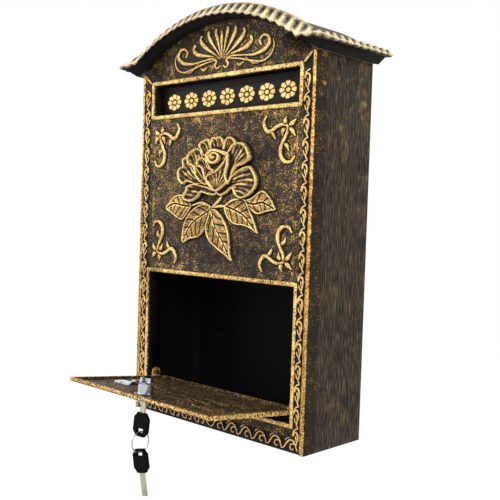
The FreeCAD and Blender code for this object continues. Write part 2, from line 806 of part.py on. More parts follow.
def eave_section(along, crest, sign):
    """Section of a side eave at a depth, in the same rows as the visor's."""
    wall = value("body_width / 2")
    seat = wall - value("roof_seat")
    low = value("eave_height")
    reach = value("eave_reach")
    rise = value("eave_rise")
    rib = value("rib_rise") if crest else 0.0
    foot = arch_height(value("vault_radius"), seat) - low
    rows = [
        (seat - wall, 0), (0.3, 0), (6.6, -1.2), (reach * 0.6, rise * 0.42), (reach - 2.2, rise * 0.5 - rib),
        (reach + rib - 1.5, rise * 0.62 - rib), (reach - 5, rise - 0.6 + rib * 0.7), (reach * 0.5, rise + 0.8),
        (reach * 0.3, rise + 1.9), (-2, foot - 2.9), (seat - wall, foot),
    ]
    return [FreeCAD.Vector(sign * (wall + out), along, low + up) for out, up in rows]


def corner_section(sign):
    """Section along the hip of a front corner, in the same rows."""
    wall = value("body_width / 2")
    seat = wall - value("roof_seat")
    back = -value("front_depth + fit_gap")
    low = value("eave_height")
    reach = value("visor_reach - fit_gap")
    rise = value("eave_rise")
    foot = arch_height(value("vault_radius"), seat) - low
    rows = [
        (seat - wall, 0, 0), (0.3, 2, 0), (6.6, 5.7, -0.6), (12, 12.5, rise * 0.4), (16.6, reach - 1.6, rise * 0.5),
        (18.6, reach, rise * 0.76), (14.5, reach - 6, rise + 0.6), (9.5, reach - 9, rise + 1.8),
        (4, 9, rise + 3.8), (-3, 5, foot - 1.4), (seat - wall, 0, foot),
    ]
    return [FreeCAD.Vector(sign * (wall + out), back - ahead, low + up) for out, ahead, up in rows]


def blended(first, second, share, offset):
    """Section part of the way from one section to another, its lip moved by an offset."""
    rows = [a + (b - a) * share for a, b in zip(first, second)]
    for index in (4, 5):
        rows[index] = rows[index] + offset
    return rows


def eave_stations():
    """Sections from the wall on the left, round the front, to the wall on the right."""
    pitch = value("rib_pitch") / 2
    count = int(value("rib_count"))
    start = -value("front_depth + fit_gap")
    flutes = 2 * int(value("flute_count"))
    rib = value("rib_rise")
    drop = FreeCAD.Vector(0, 0, rib)
    quarter = [0.25, 0.5, 0.75]

    def corner(sign):
        """Sections from the last visor section over the hip to the first side section."""
        last = visor_section(sign * count * pitch, True)
        hip = corner_section(sign)
        first = eave_section(start, True, sign)
        before = [blended(last, hip, share, drop if share != 0.5 else drop * 0) for share in quarter]
        after = [blended(hip, first, share, drop if share != 0.5 else drop * 0) for share in quarter]
        return [*before, hip, *after]

    def side(sign):
        """Sections from the front back to the wall."""
        return [eave_section(start * (1 - index / flutes), index % 2 == 0, sign) for index in range(flutes + 1)]

    front = [visor_section(index * pitch, index % 2 == 0) for index in range(-count, count + 1)]
    left = list(reversed(corner(-1) + side(-1)))
    return left + front + corner(1) + side(1)


def build_roof():
    """Cast roof: a vault with fluted eaves round three sides and bosses for its screws."""
    eaves = shape("eaves", tube(eave_stations()))
    start = "-front_depth - 4"
    depth = "front_depth + 4"
    seat = "body_width / 2 - roof_seat"
    outer = arched("vault_outer", "vault_radius", start, depth, f"{seat} + 1", "eave_height")
    hollow = rod("vault_hollow", "Y", ("0", f"{start} - 1", "arch_axis_height"), "vault_radius - vault_wall",
                 f"{depth} + 2")
    vault = cut("vault", outer, hollow)
    bosses = []
    bores = []
    for level in ("front", "back"):
        bosses += both(f"roof_boss_{level}", lambda name, sign: rod(
            name, "Z", (f"{sign} * (body_width / 2 - joint_inset)", f"-roof_screw_{level}", "eave_height"),
            "boss_radius", "roof_boss_height"))
        bores += both(f"roof_bore_{level}", lambda name, sign: rod(
            name, "Z", (f"{sign} * (body_width / 2 - joint_inset)", f"-roof_screw_{level}", "eave_height - 1"),
            "screw_radius + screw_gap", "screw_reach + 1"))
    roof = cut("roof", fuse("roof_body", eaves, vault, *bosses, refine=False), *bores, refine=False)
    finish(roof, "roof_casting")


def build_roof_screws():
    """Screws from the sheet's top flanges up into the roof."""
    screws = []
    for level in ("front", "back"):
        def screw(name, sign):
            across = f"{sign} * (body_width / 2 - joint_inset)"
            depth = f"-roof_screw_{level}"
            seat = "eave_height - sheet_wall"
            shank = rod(f"{name}_shank", "Z", (across, depth, seat), "screw_radius",
                        "sheet_wall + screw_reach - fit_gap")
            head = rod(f"{name}_head", "Z", (across, depth, f"{seat} - screw_head_height"), "screw_head_radius",
                       "screw_head_height")
            return fuse(name, shank, head)
        screws += both(f"roof_screw_{level}", screw)
    finish(group("roof_screw_set", *screws), "roof_screws")


# Letter flap

def rosette(middle_x, middle_z, front):
    """Scalloped rosette on the flap."""
    lobes = 8
    edge = []
    for index in range(2 * lobes):
        turn = math.pi * index / lobes
        reach = 1.0 if index % 2 == 0 else 0.82
        edge.append((middle_x + value("rosette_width") / 2 * reach * math.cos(turn),
                     middle_z + value("rosette_height") / 2 * reach * math.sin(turn)))

    def on_flap(across, up, proud):
        return FreeCAD.Vector(across, front - proud, up)

    rise = value("rosette_rise")
    ring = dish(edge, (middle_x, middle_z), rise, rise * 0.2, on_flap)
    knob_edge = [(middle_x + (a - middle_x) * 0.3, middle_z + (b - middle_z) * 0.3) for a, b in edge[::2]]
    knob = dish(knob_edge, (middle_x, middle_z), rise * 0.9, rise * 1.05, on_flap)
    return ring.fuse(knob)


def build_flap():
    """Swinging flap with its barrel and its row of rosettes."""
    half = "slot_half - flap_side_gap"
    pin_height = "slot_high - flap_pin_drop"
    leaf_front = "-flap_pin_depth - flap_wall"
    blade = wide_box("flap_leaf", half, leaf_front, f"{pin_height} - flap_drop", "flap_wall", "flap_drop")
    barrel = rod("flap_barrel", "X", (f"-({half})", "-flap_pin_depth", pin_height), "flap_barrel_radius",
                 f"2 * ({half})")
    bore = rod("flap_bore", "X", ("-slot_half", "-flap_pin_depth", pin_height), "flap_pin_radius + pin_gap",
               "2 * slot_half")
    plain = cut("plain_flap", fuse("flap_body", blade, barrel), bore)
    count = int(value("rosette_count"))
    middle = value(f"{pin_height} - flap_drop / 2 - 0.5 * flap_barrel_radius + 0.2")
    row = [rosette((index - (count - 1) / 2) * value("rosette_pitch"), middle, value(leaf_front))
           for index in range(count)]
    rosettes = shape("rosettes", Part.makeCompound(row))
    finish(fuse("flap", plain, rosettes, refine=False), "letter_flap")


def build_flap_pin():
    """Rod of the flap, and the two clips at its ends."""
    height = "slot_high - flap_pin_drop"
    reach = "slot_half + throat_wall + flap_pin_tail"
    pin = rod("flap_rod", "X", (f"-({reach})", "-flap_pin_depth", height), "flap_pin_radius", f"2 * ({reach})")
    finish(group("flap_pin_part", pin), "flap_pin")

    def clip(name, sign):
        low = f"{sign} * (slot_half + throat_wall + fit_gap + clip_wall / 2) - clip_wall / 2"
        disc = rod(f"{name}_disc", "X", (low, "-flap_pin_depth", height), "clip_radius", "clip_wall")
        bore = rod(f"{name}_bore", "X", (f"{low} - 1", "-flap_pin_depth", height), "flap_pin_radius",
                   "clip_wall + 2")
        return cut(name, disc, bore)
    finish(group("clip_pair", *both("flap_clip", clip)), "flap_pin_clips")


# Door, drawn closed about its hinge axis

def build_door():
    """Cast door: a shallow tray with a rim and two hinge ears."""
    half = "door_half - door_side_gap"
    top = "lintel_height - hinge_height - door_end_gap"
    bottom = "sill_height - hinge_height + door_end_gap"
    tray = padded("door_tray", "YZ_Plane", [
        ("-door_face + edge_bevel", bottom), ("-door_rim", bottom), ("-door_rim", top),
        ("-door_face + edge_bevel", top), ("-door_face", f"{top} - edge_bevel"),
        ("-door_face", f"{bottom} + edge_bevel"),
    ], f"2 * ({half})")
    recess = wide_box("door_recess", f"{half} - rim_width", "door_wall - door_face", f"{bottom} + rim_width",
                      "door_face", f"{top} - ({bottom}) - rim_width - edge_rim_width")
    lock_hole = rod("lock_hole", "Y", ("0", "-2 * door_face", f"{top} - lock_inset"), "barrel_radius + thread_gap",
                    "2 * door_face")

    def ear(name, sign):
        low = f"{sign} * ({half} - ear_wall / 2) - ear_wall / 2"
        eye = rod(f"{name}_eye", "X", (low, "0", "0"), "ear_radius", "ear_wall")
        web = box(f"{name}_web", (low, "-door_face + door_wall", "-ear_radius"),
                  ("ear_wall", "door_face - door_wall", "2 * ear_radius"))
        return fuse(name, eye, web)

    bore = rod("ear_bore", "X", (f"-({half})", "0", "0"), "pin_radius + pin_gap", f"2 * ({half})")
    plain = cut("plain_door", fuse("door_body", cut("open_tray", tray, recess), *both("door_ear", ear)),
                lock_hole, bore)
    strokes = []
    for foot, tip in (((-70, 20), (-38, 62)), ((-52, 14), (-12, 34)), ((64, 24), (30, 60)), ((88, 60), (56, 92)),
                      ((20, 18), (44, 44)), ((-86, 70), (-60, 96))):
        middle = ((foot[0] + tip[0]) / 2 - 4, (foot[1] + tip[1]) / 2 + 3)
        strokes.append(ridge([(*foot, 0.8, 0.4), (*middle, 3.2, 1.1), (*tip, 0.6, 0.4)], on_door))
    marks = shape("door_marks", joined(strokes))
    finish_on_door(fuse("door", plain, marks, refine=False), "door_casting")


def build_door_pins():
    """Hinge pins, pressed through the jambs into the door's ears."""
    def pin(name, sign):
        inner = "door_half - door_side_gap - ear_wall - pin_tail + fit_gap"
        outer = "door_half + jamb_wall"
        length = f"({outer}) - ({inner})"
        low = f"{sign} * (({outer}) + ({inner})) / 2 - ({length}) / 2"
        head_low = f"{sign} * ({outer} + pin_head_height / 2) - pin_head_height / 2"
        shank = rod(f"{name}_shank", "X", (low, "-hinge_back", "hinge_height"), "pin_radius", length)
        head = rod(f"{name}_head", "X", (head_low, "-hinge_back", "hinge_height"), "pin_head_radius",
                   "pin_head_height")
        return fuse(name, shank, head)
    finish(group("door_pin_pair", *both("door_pin", pin)), "door_hinge_pins")


# Lock, drawn about its own axis on the closed door

LOCK_RISE = "lintel_height - hinge_height - door_end_gap - lock_inset"


def build_lock():
    """Cam lock: housing, ring nut and washer stay on the door; plug, cam, washer and nut turn."""
    face = "-door_face - flange_height"
    bore = "plug_radius + plug_gap"
    housing = turned("housing", [
        (bore, face), ("flange_radius", face), ("flange_radius", "-door_face"), ("barrel_radius", "-door_face"),
        ("barrel_radius", "barrel_top"), (bore, "barrel_top"),
    ])
    finish_on_door(housing, "lock_housing", LOCK_RISE)

    inner_face = "door_wall - door_face"
    washer = ring_piece("ring_washer", inner_face, "ring_washer_height", "ring_washer_radius",
                        "barrel_radius + thread_gap")
    finish_on_door(washer, "lock_star_washer", LOCK_RISE)
    nut = ring_piece("ring_nut", f"{inner_face} + ring_washer_height", "ring_nut_height", "ring_nut_radius",
                     "barrel_radius + thread_gap", corners=6)
    finish_on_door(nut, "lock_ring_nut", LOCK_RISE)

    cam_low = "barrel_top + cam_lift"
    washer_low = f"{cam_low} + cam_wall"
    nut_low = f"{washer_low} + cam_washer_height"
    plug_low = f"{face} + plug_sink"
    core = rod("plug_core", "Y", ("0", plug_low, "0"), "plug_radius", f"barrel_top - ({plug_low})")
    stub = box("plug_stub", ("-stub_size / 2", "barrel_top", "-stub_size / 2"),
               ("stub_size", f"{nut_low} + cam_nut_height - barrel_top", "stub_size"))
    keyway = box("keyway", ("-keyway_width / 2", f"{plug_low} - 1", "-keyway_height / 2"),
                 ("keyway_width", "key_insert + 2", "keyway_height"))
    finish_on_door(cut("plug", fuse("plug_body", core, stub), keyway), "lock_plug", LOCK_RISE)

    slope = "cam_bend_end - cam_bend_start"
    cam_blank = padded("cam_blank", "XY_Plane", [
        ("cam_root", cam_low), ("cam_root", washer_low), ("-cam_bend_start", washer_low),
        (f"-cam_bend_start - ({slope})", f"{washer_low} - cam_drop"), ("-cam_reach", f"{washer_low} - cam_drop"),
        ("-cam_reach", f"{cam_low} - cam_drop"), (f"-cam_bend_start - ({slope}) + 1", f"{cam_low} - cam_drop"),
        ("-cam_bend_start + 1", cam_low),
    ], "cam_width")
    cam_bore = stub_bore("cam_bore", cam_low, "cam_wall")
    finish_on_door(cut("cam", cam_blank, cam_bore), "lock_cam", LOCK_RISE)
    crown = ring_piece("crown_washer", washer_low, "cam_washer_height", "cam_washer_radius", None, corners=12)
    finish_on_door(cut("crown", crown, stub_bore("crown_bore", washer_low, "cam_washer_height")), "cam_washer",
                   LOCK_RISE)
    cap = ring_piece("cap_nut", nut_low, "cam_nut_height", "cam_nut_radius", None, corners=6)
    finish_on_door(cut("cap", cap, stub_bore("cap_bore", nut_low, "cam_nut_height")), "cam_nut", LOCK_RISE)


def stub_bore(name, low, height):
    """Square hole that the plug's stub passes through."""
    side = "stub_size + 2 * stub_gap"
    return box(name, (f"-({side}) / 2", f"{low} - 1", f"-({side}) / 2"), (side, f"{height} + 2", side))


def ring_piece(name, low, height, radius, bore, corners=0):
    """Washer or nut about the lock's axis; a nut has corners."""
    if corners:
        blank = doc.addObject("Part::Prism", f"{name}_blank")
        blank.Polygon = corners
        blank.setExpression("Circumradius", formula(radius))
        blank.setExpression("Height", formula(height))
        blank.Placement = FreeCAD.Placement(FreeCAD.Vector(), TURNS["Y"])
        place(blank, ("0", low, "0"))
    else:
        blank = rod(f"{name}_blank", "Y", ("0", low, "0"), radius, height)
    if bore is None:
        return blank
    return cut(name, blank, rod(f"{name}_bore", "Y", ("0", f"{low} - 1", "0"), bore, f"{height} + 2"))


# Keys

def bow_outline(top, sign):
    """Corners of a moulded bow below (sign -1) or above its blade."""
    bottom = f"{top} + {sign} * bow_length"
    return [
        ("-bow_width / 2 + bow_shoulder", top), ("bow_width / 2 - bow_shoulder", top),
        ("bow_width / 2", f"{top} + {sign} * bow_shoulder"),
        ("bow_width / 2", f"{bottom} - {sign} * bow_shoulder"),
        ("bow_width / 2 - bow_shoulder", bottom), ("-bow_width / 2 + bow_shoulder", bottom),
        ("-bow_width / 2", f"{bottom} - {sign} * bow_shoulder"),
        ("-bow_width / 2", f"{top} + {sign} * bow_shoulder"),
    ]


PLUG_FACE = "-door_face - flange_height + plug_sink"
BOW_TOP = f"{PLUG_FACE} - key_neck"
EYELET_LOW = f"{BOW_TOP} - bow_length + eyelet_margin"


def build_key():
    """Key in the lock, drawn about the lock's axis."""
    blade_top = f"{PLUG_FACE} + key_insert"
    blade = box("blade_bar", ("-key_width / 2", f"{BOW_TOP} - blade_sink", "-key_wall / 2"),
                ("key_width", f"{blade_top} - ({BOW_TOP}) + blade_sink", "key_wall"))
    finish_on_door(group("blade_part", blade), "key_blade", LOCK_RISE)
    body = padded("bow_body", "XY_Plane", bow_outline(BOW_TOP, "-1"), "bow_wall")
    eyelet = box("bow_eyelet", ("-eyelet_width / 2", EYELET_LOW, "-bow_wall"),
                 ("eyelet_width", "eyelet_height", "2 * bow_wall"))
    pocket = box("bow_pocket", ("-key_width / 2", f"{BOW_TOP} - blade_sink", "-key_wall / 2"),
                 ("key_width", "blade_sink + 1", "key_wall"))
    finish_on_door(cut("bow", body, eyelet, pocket), "key_bow", LOCK_RISE)


def wire_spot():
    """Place of the ring's wire in the first key's eyelet, as formulas for y and z."""
    depth = f"({EYELET_LOW} + wire_radius + wire_gap)"
    y_text = f"-hinge_back - ({LOCK_RISE}) * sin(open_angle) + {depth} * cos(open_angle)"
    z_text = f"hinge_height - mount_height + ({LOCK_RISE}) * cos(open_angle) + {depth} * sin(open_angle)"
    return y_text, z_text


def build_ring():
    """Key ring that hangs in the first key's eyelet."""
    wire = make("Part::Torus", "ring_wire", Radius1="ring_radius", Radius2="wire_radius")
    wire.Placement = FreeCAD.Placement(FreeCAD.Vector(), TURNS["X"])
    ring = group("ring_part", wire)
    y_text, z_text = wire_spot()
    place(ring, ("0", y_text, f"{z_text} - ring_radius"))
    ring.Label = "key_ring"
    FINISHED.append(ring)


def build_spare():
    """Spare key, drawn about the point where the ring carries it and hung with a tilt."""
    top = "wire_radius + wire_gap + spare_margin"
    bottom = f"{top} - bow_length"
    body = padded("spare_body", "XZ_Plane", bow_outline(top, "-1"), "bow_wall")
    eyelet = box("spare_eyelet", ("-eyelet_width / 2", "-bow_wall", f"{top} - spare_margin - eyelet_height"),
                 ("eyelet_width", "2 * bow_wall", "eyelet_height"))
    pocket = box("spare_pocket", ("-key_width / 2", "-key_wall / 2", f"{bottom} - 1"),
                 ("key_width", "key_wall", "blade_sink + 1"))
    bow = cut("spare_bow_part", body, eyelet, pocket)
    blade = group("spare_blade_part", box(
        "spare_bar", ("-key_width / 2", "-key_wall / 2", f"{bottom} - spare_blade"),
        ("key_width", "key_wall", "spare_blade + blade_sink")))
    y_text, z_text = wire_spot()
    for item, label in ((bow, "spare_key_bow"), (blade, "spare_key_blade")):
        item.Placement = FreeCAD.Placement(FreeCAD.Vector(), FreeCAD.Rotation(Y_AXIS, -45))
        item.setExpression("Placement.Rotation.Angle", formula("-spare_tilt"))
        place(item, ("0", y_text, f"{z_text} - 2 * ring_radius"))
        item.Label = label
        FINISHED.append(item)


def check_objects():
    """Stop where an object failed or a finished piece has no sound shape."""
    for item in doc.Objects:
        if "Invalid" in item.State or "Error" in item.State:
            raise RuntimeError(f"{item.Label} failed: {item.State}")
    for item in FINISHED:
        if item.Shape.isNull() or not item.Shape.isValid() or not item.Shape.Solids:
            raise RuntimeError(f"{item.Label} has no sound shape")


build_front()
build_front_screws()
build_shell()
build_back()
build_rivets()
build_roof()
build_roof_screws()
build_flap()
build_flap_pin()
build_door()
build_door_pins()
build_lock()
build_key()
build_ring()
build_spare()
doc.recompute()
check_objects()
for piece in FINISHED:
    piece.Shape.exportStep(f"parts/{piece.Label}.step")
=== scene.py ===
"""Looks of the wall mounted post box: carving, antique paint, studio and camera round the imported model."""
import json
import logging
import math
from dataclasses import dataclass, field
from enum import Enum
from functools import partialmethod
from typing import Callable, Mapping, Sequence

import bmesh
import bpy
import numpy as np
from mathutils import Matrix, Vector

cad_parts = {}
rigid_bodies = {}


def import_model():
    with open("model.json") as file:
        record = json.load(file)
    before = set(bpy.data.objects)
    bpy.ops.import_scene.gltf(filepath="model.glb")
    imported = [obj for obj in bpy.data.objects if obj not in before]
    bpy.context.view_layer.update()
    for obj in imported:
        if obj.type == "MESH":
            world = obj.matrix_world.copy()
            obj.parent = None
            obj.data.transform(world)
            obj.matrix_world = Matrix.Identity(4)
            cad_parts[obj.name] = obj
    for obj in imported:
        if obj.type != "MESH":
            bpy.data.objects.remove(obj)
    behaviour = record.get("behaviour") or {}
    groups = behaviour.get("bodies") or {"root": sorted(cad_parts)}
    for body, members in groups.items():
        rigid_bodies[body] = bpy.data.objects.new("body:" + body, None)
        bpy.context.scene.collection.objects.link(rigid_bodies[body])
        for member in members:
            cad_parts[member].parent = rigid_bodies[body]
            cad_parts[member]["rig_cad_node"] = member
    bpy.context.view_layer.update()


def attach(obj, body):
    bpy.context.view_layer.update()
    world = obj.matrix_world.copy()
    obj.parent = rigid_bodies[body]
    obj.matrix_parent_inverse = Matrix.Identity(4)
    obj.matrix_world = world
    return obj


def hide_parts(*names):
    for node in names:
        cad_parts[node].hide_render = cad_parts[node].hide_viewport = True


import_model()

LOG = logging.getLogger("post_box")
MM = 0.001
METRE = 1000.0
MOUNT = 190.0  # the frame's origin lies this far over the foot of the body
FACE = -86.0
LIFT = 0.05
TINY = 1e-9

Object = bpy.types.Object
Material = bpy.types.Material
Mesh = bpy.types.Mesh
Socket = bpy.types.NodeSocket
Row = tuple[float, ...]
Stroke = tuple[Row, ...]
Face = tuple[int, ...]
Ease = tuple[float, float]
Colour = tuple[float, float, float]
Feeds = Mapping[str | int, object]


# Small helpers

def smooth_path(points: Sequence[Sequence[float]], steps: int, closed: bool = False) -> np.ndarray:
    """Run a curve through points.

    Args:
        points: Rows of numbers; all columns are smoothed.
        steps: Pieces between two points.
        closed: Whether the curve returns to its start.

    Returns:
        The curve's rows.
    """
    rows = np.array(points, float)
    count = len(rows)
    picks = [np.arange(count if closed else count - 1) + shift for shift in (-1, 0, 1, 2)]
    a, b, c, d = (rows[pick % count if closed else np.clip(pick, 0, count - 1)] for pick in picks)
    out = []
    for t in np.arange(steps) / steps:
        out.append(0.5 * (2 * b + (c - a) * t + (2 * a - 5 * b + 4 * c - d) * t ** 2
                          + (3 * b - a - 3 * c + d) * t ** 3))
    curve = np.stack(out, 1).reshape(-1, rows.shape[1])
    return curve if closed else np.vstack([curve, rows[-1]])


def ramp(values: np.ndarray, start: float, end: float) -> np.ndarray:
    """Rise straight from 0 at a start to 1 at an end."""
    return np.clip((values - start) / (end - start), 0, 1)


def bell(values: np.ndarray, middle: float, width: float) -> np.ndarray:
    """Bell of height 1 round a middle."""
    return np.exp(-((values - middle) / width) ** 2)


def soften(values: np.ndarray, radius: float) -> np.ndarray:
    """Blur a field of heights by a radius in cells.

    Args:
        values: The field.
        radius: Width of the blur in cells.

    Returns:
        The blurred field.
    """
    reach = max(1, int(radius * 2.5))
    kernel = np.exp(-0.5 * (np.arange(-reach, reach + 1) / radius) ** 2)
    kernel /= kernel.sum()
    padded = np.pad(values, reach, mode="edge")
    for axis in (1, 0):
        padded = np.apply_along_axis(lambda row: np.convolve(row, kernel, "valid"), axis, padded)
    return padded


def put(name: str, data: bpy.types.ID) -> Object:
    """Link an object.

    Args:
        name: Its name.
        data: Its mesh, lamp or camera.

    Returns:
        The object.
    """
    obj = bpy.data.objects.new(name, data)
    bpy.context.scene.collection.objects.link(obj)
    return obj


def loft(rings: int, size: int, start: int = 0, tips: tuple[int | None, int | None] = (None, None)) -> list[Face]:
    """Join closed rings of points.

    Args:
        rings: Number of rings.
        size: Points in a ring.
        start: Index of the first point.
        tips: Point that each end runs to; None closes the end with one flat face.

    Returns:
        The faces.
    """
    last = start + (rings - 1) * size
    faces: list[Face] = [(a + i, a + (i + 1) % size, a + size + (i + 1) % size, a + size + i)
                         for a in range(start, last, size) for i in range(size)]
    for ring, tip, sense in zip((start, last), tips, (1, -1)):
        if tip is None:
            faces.append(tuple(range(ring, ring + size))[::sense])
        else:
            faces += [(tip, ring + i, ring + (i + 1) % size) for i in range(size)]
    return faces


def closed_mesh(name: str, verts: Sequence[Row] | np.ndarray, faces: Sequence[Face],
                gilt: Sequence[float] | np.ndarray | None = None, fill: bool = False) -> Mesh:
    """Make a smooth mesh whose faces look outward.

    Args:
        name: Name of the mesh.
        verts: Rows of x, y, z in millimetres.
        faces: Corner indices.
        gilt: How far each point is rubbed with gold, from -1 to 1; low values also carry painted shade round carvings
            and under the roof's visor.
        fill: Whether open rims are closed.

    Returns:
        The mesh, in metres.
    """
    mesh = bpy.data.meshes.new(name)
    mesh.from_pydata((np.asarray(verts, float) * MM).tolist(), [], faces)
    if gilt is not None:
        mesh.attributes.new("gilt", "FLOAT", "POINT").data.foreach_set("value", np.asarray(gilt, np.float32))
    mesh.polygons.foreach_set("use_smooth", [True] * len(mesh.polygons))
    work = bmesh.new()
    work.from_mesh(mesh)
    if fill:
        bmesh.ops.holes_fill(work, edges=[edge for edge in work.edges if edge.is_boundary], sides=0)
    bmesh.ops.recalc_face_normals(work, faces=work.faces)
    work.to_mesh(mesh)
    work.free()
    return mesh


def sharpen(obj: Object, degrees: float) -> None:
    """Keep edges sharper than an angle crisp under smooth shading."""
    obj.data.set_sharp_from_angle(angle=math.radians(degrees))


def dress(obj: Object, material: Material) -> None:
    """Give an object one material."""
    obj.data.materials.clear()
    obj.data.materials.append(material)


def carried(obj: Object, paint: Material, body: str) -> Object:
    """Paint a piece and let it ride on a body.

    Args:
        obj: The piece.
        paint: Its material.
        body: Body that carries it.

    Returns:
        The piece.
    """
    dress(obj, paint)
    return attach(obj, body)


# Node trees

class Nodes:
    """A node tree under construction."""

    def __init__(self, tree: bpy.types.NodeTree) -> None:
        """Work on a tree."""
        self.tree = tree

    def add(self, kind: str, feeds: Feeds | None = None, **settings: object) -> bpy.types.Node:
        """Add a node, set its properties and feed its inputs.

        Args:
            kind: Type of the node.
            feeds: Values or signals for its inputs.
            settings: Its properties.

        Returns:
            The node.
        """
        node = self.tree.nodes.new(kind)
        for key, setting in settings.items():
            setattr(node, key, setting)
        for key, source in (feeds or {}).items():
            self.feed(node.inputs[key], source)
        return node

    def feed(self, target: Socket, source: object) -> None:
        """Set a socket to a value or link it to a signal.

        Args:
            target: The socket.
            source: The value or signal.
        """
        if isinstance(source, Signal):
            self.tree.links.new(source.socket, target)
        else:
            target.default_value = (*source, 1.0) if target.type == "RGBA" else source

    def out(self, kind: str, output: str | int, feeds: Feeds | None = None, **settings: object) -> "Signal":
        """Add a node and return one of its outputs."""
        return Signal(self, self.add(kind, feeds, **settings).outputs[output])


class Signal:
    """What a node gives, ready for sums with numbers and other signals."""

    def __init__(self, nodes: Nodes, socket: Socket) -> None:
        """Hold a socket."""
        self.nodes = nodes
        self.socket = socket

    def sum(self, operation: str, other: "Signal | float" = 0.0) -> "Signal":
        """Work out one sum."""
        return self.nodes.out("ShaderNodeMath", "Value", {0: self, 1: other}, operation=operation)

    __add__ = partialmethod(sum, "ADD")
    __sub__ = partialmethod(sum, "SUBTRACT")
    __mul__ = partialmethod(sum, "MULTIPLY")
    most = partialmethod(sum, "MAXIMUM")

    def step(self, low: float, high: float) -> "Signal":
        """Ease from 0 to 1 between two values."""
        return self.nodes.out("ShaderNodeMapRange", "Result", {"Value": self, "From Min": low, "From Max": high},
                              interpolation_type="SMOOTHSTEP")


class Shader(Nodes):
    """A surface's material under construction."""

    def __init__(self, name: str) -> None:
        """Start a material with its output, shader and object coordinates.

        Args:
            name: Name of the material.
        """
        self.material = bpy.data.materials.new(name)
        self.material.use_nodes = True
        super().__init__(self.material.node_tree)
        self.tree.nodes.clear()
        self.surface = self.add("ShaderNodeBsdfPrincipled")
        self.add("ShaderNodeOutputMaterial", {"Surface": Signal(self, self.surface.outputs["BSDF"])})
        self.place = self.out("ShaderNodeTexCoord", "Object")

    def split(self, source: Signal) -> list[Signal]:
        """The three parts of a vector."""
        node = self.add("ShaderNodeSeparateXYZ", {"Vector": source})
        return [Signal(self, node.outputs[letter]) for letter in "XYZ"]

    def noise(self, scale: float, detail: float, stretch: Row = (1.0, 1.0, 1.0), rough: float = 0.6) -> Signal:
        """Noise over the object's own coordinates.

        Args:
            scale: Cells in a metre.
            detail: Octaves.
            stretch: Factors on the three axes; a small one draws the noise out.
            rough: Share of the finer octaves.

        Returns:
            The value, from 0 to 1.
        """
        mapped = self.out("ShaderNodeMapping", "Vector", {"Vector": self.place, "Scale": stretch})
        return self.out("ShaderNodeTexNoise", "Fac",
                        {"Vector": mapped, "Scale": scale, "Detail": detail, "Roughness": rough})

    def mix(self, share: Signal, first: Signal | Colour, second: Signal | Colour, blend: str = "MIX") -> Signal:
        """Mix two colours."""
        return self.out("ShaderNodeMix", 2, {"Factor": share, 6: first, 7: second},
                        data_type="RGBA", blend_type=blend)

    def finish(self, feeds: Feeds, height: Signal, depth: float, strength: float) -> Material:
        """Feed the surface, roughen it by a height and return the material.

        Args:
            feeds: Values or signals for the surface.
            height: What the bump follows.
            depth: Distance of the bump in metres.
            strength: Strength of the bump.

        Returns:
            The material.
        """
        relief = self.out("ShaderNodeBump", "Normal", {"Height": height, "Distance": depth, "Strength": strength})
        for key, source in {**feeds, "Normal": relief}.items():
            self.feed(self.surface.inputs[key], source)
        return self.material


# Finishes

@dataclass(frozen=True)
class FrontMap:
    """Where the front's paint changes, in millimetres; each pair is the start and the end of an ease."""

    panel_top: Ease = (324.5, 323.5)
    panel_foot: Ease = (160.5, 161.5)
    panel_side: Ease = (105.2, 104.6)
    worn_top: Ease = (314.0, 322.5)
    worn_foot: Ease = (172.0, 163.5)
    worn_side: Ease = (96.0, 104.0)
    worn_noise: float = 110.0
    worn_blotches: Ease = (0.42, 0.6)
    worn_gold: float = 0.30
    border_inner: Ease = (110.6, 111.2)
    border_outer: Ease = (119.6, 119.0)
    border_foot: Ease = (14.5, 13.5)
    shoulder_slope: float = 0.94
    shoulder: Ease = (261.2, 260.4)
    border_dark: float = 0.5
    rim: Ease = (124.6, 124.9)
    rim_dark: float = 0.14

    def marks(self, shader: Shader, across: Signal, up: Signal) -> Signal:
        """Gold worn along the panel's edges, less the dark under the borders and on the rim.

        Args:
            shader: Material under construction.
            across: Distance from the middle.
            up: Height over the foot.

        Returns:
            What is added to the paint's level.
        """
        worn = up.step(*self.worn_top).most(up.step(*self.worn_foot)).most(across.step(*self.worn_side))
        panel = up.step(*self.panel_top) * up.step(*self.panel_foot) * across.step(*self.panel_side)
        gold = worn * panel * shader.noise(self.worn_noise, 4).step(*self.worn_blotches) * self.worn_gold
        side = across.step(*self.border_inner) * (up - across * self.shoulder_slope).step(*self.shoulder)
        border = side.most(up.step(*self.border_foot)) * across.step(*self.border_outer) * self.border_dark
        return gold - border.most(across.step(*self.rim) * self.rim_dark)


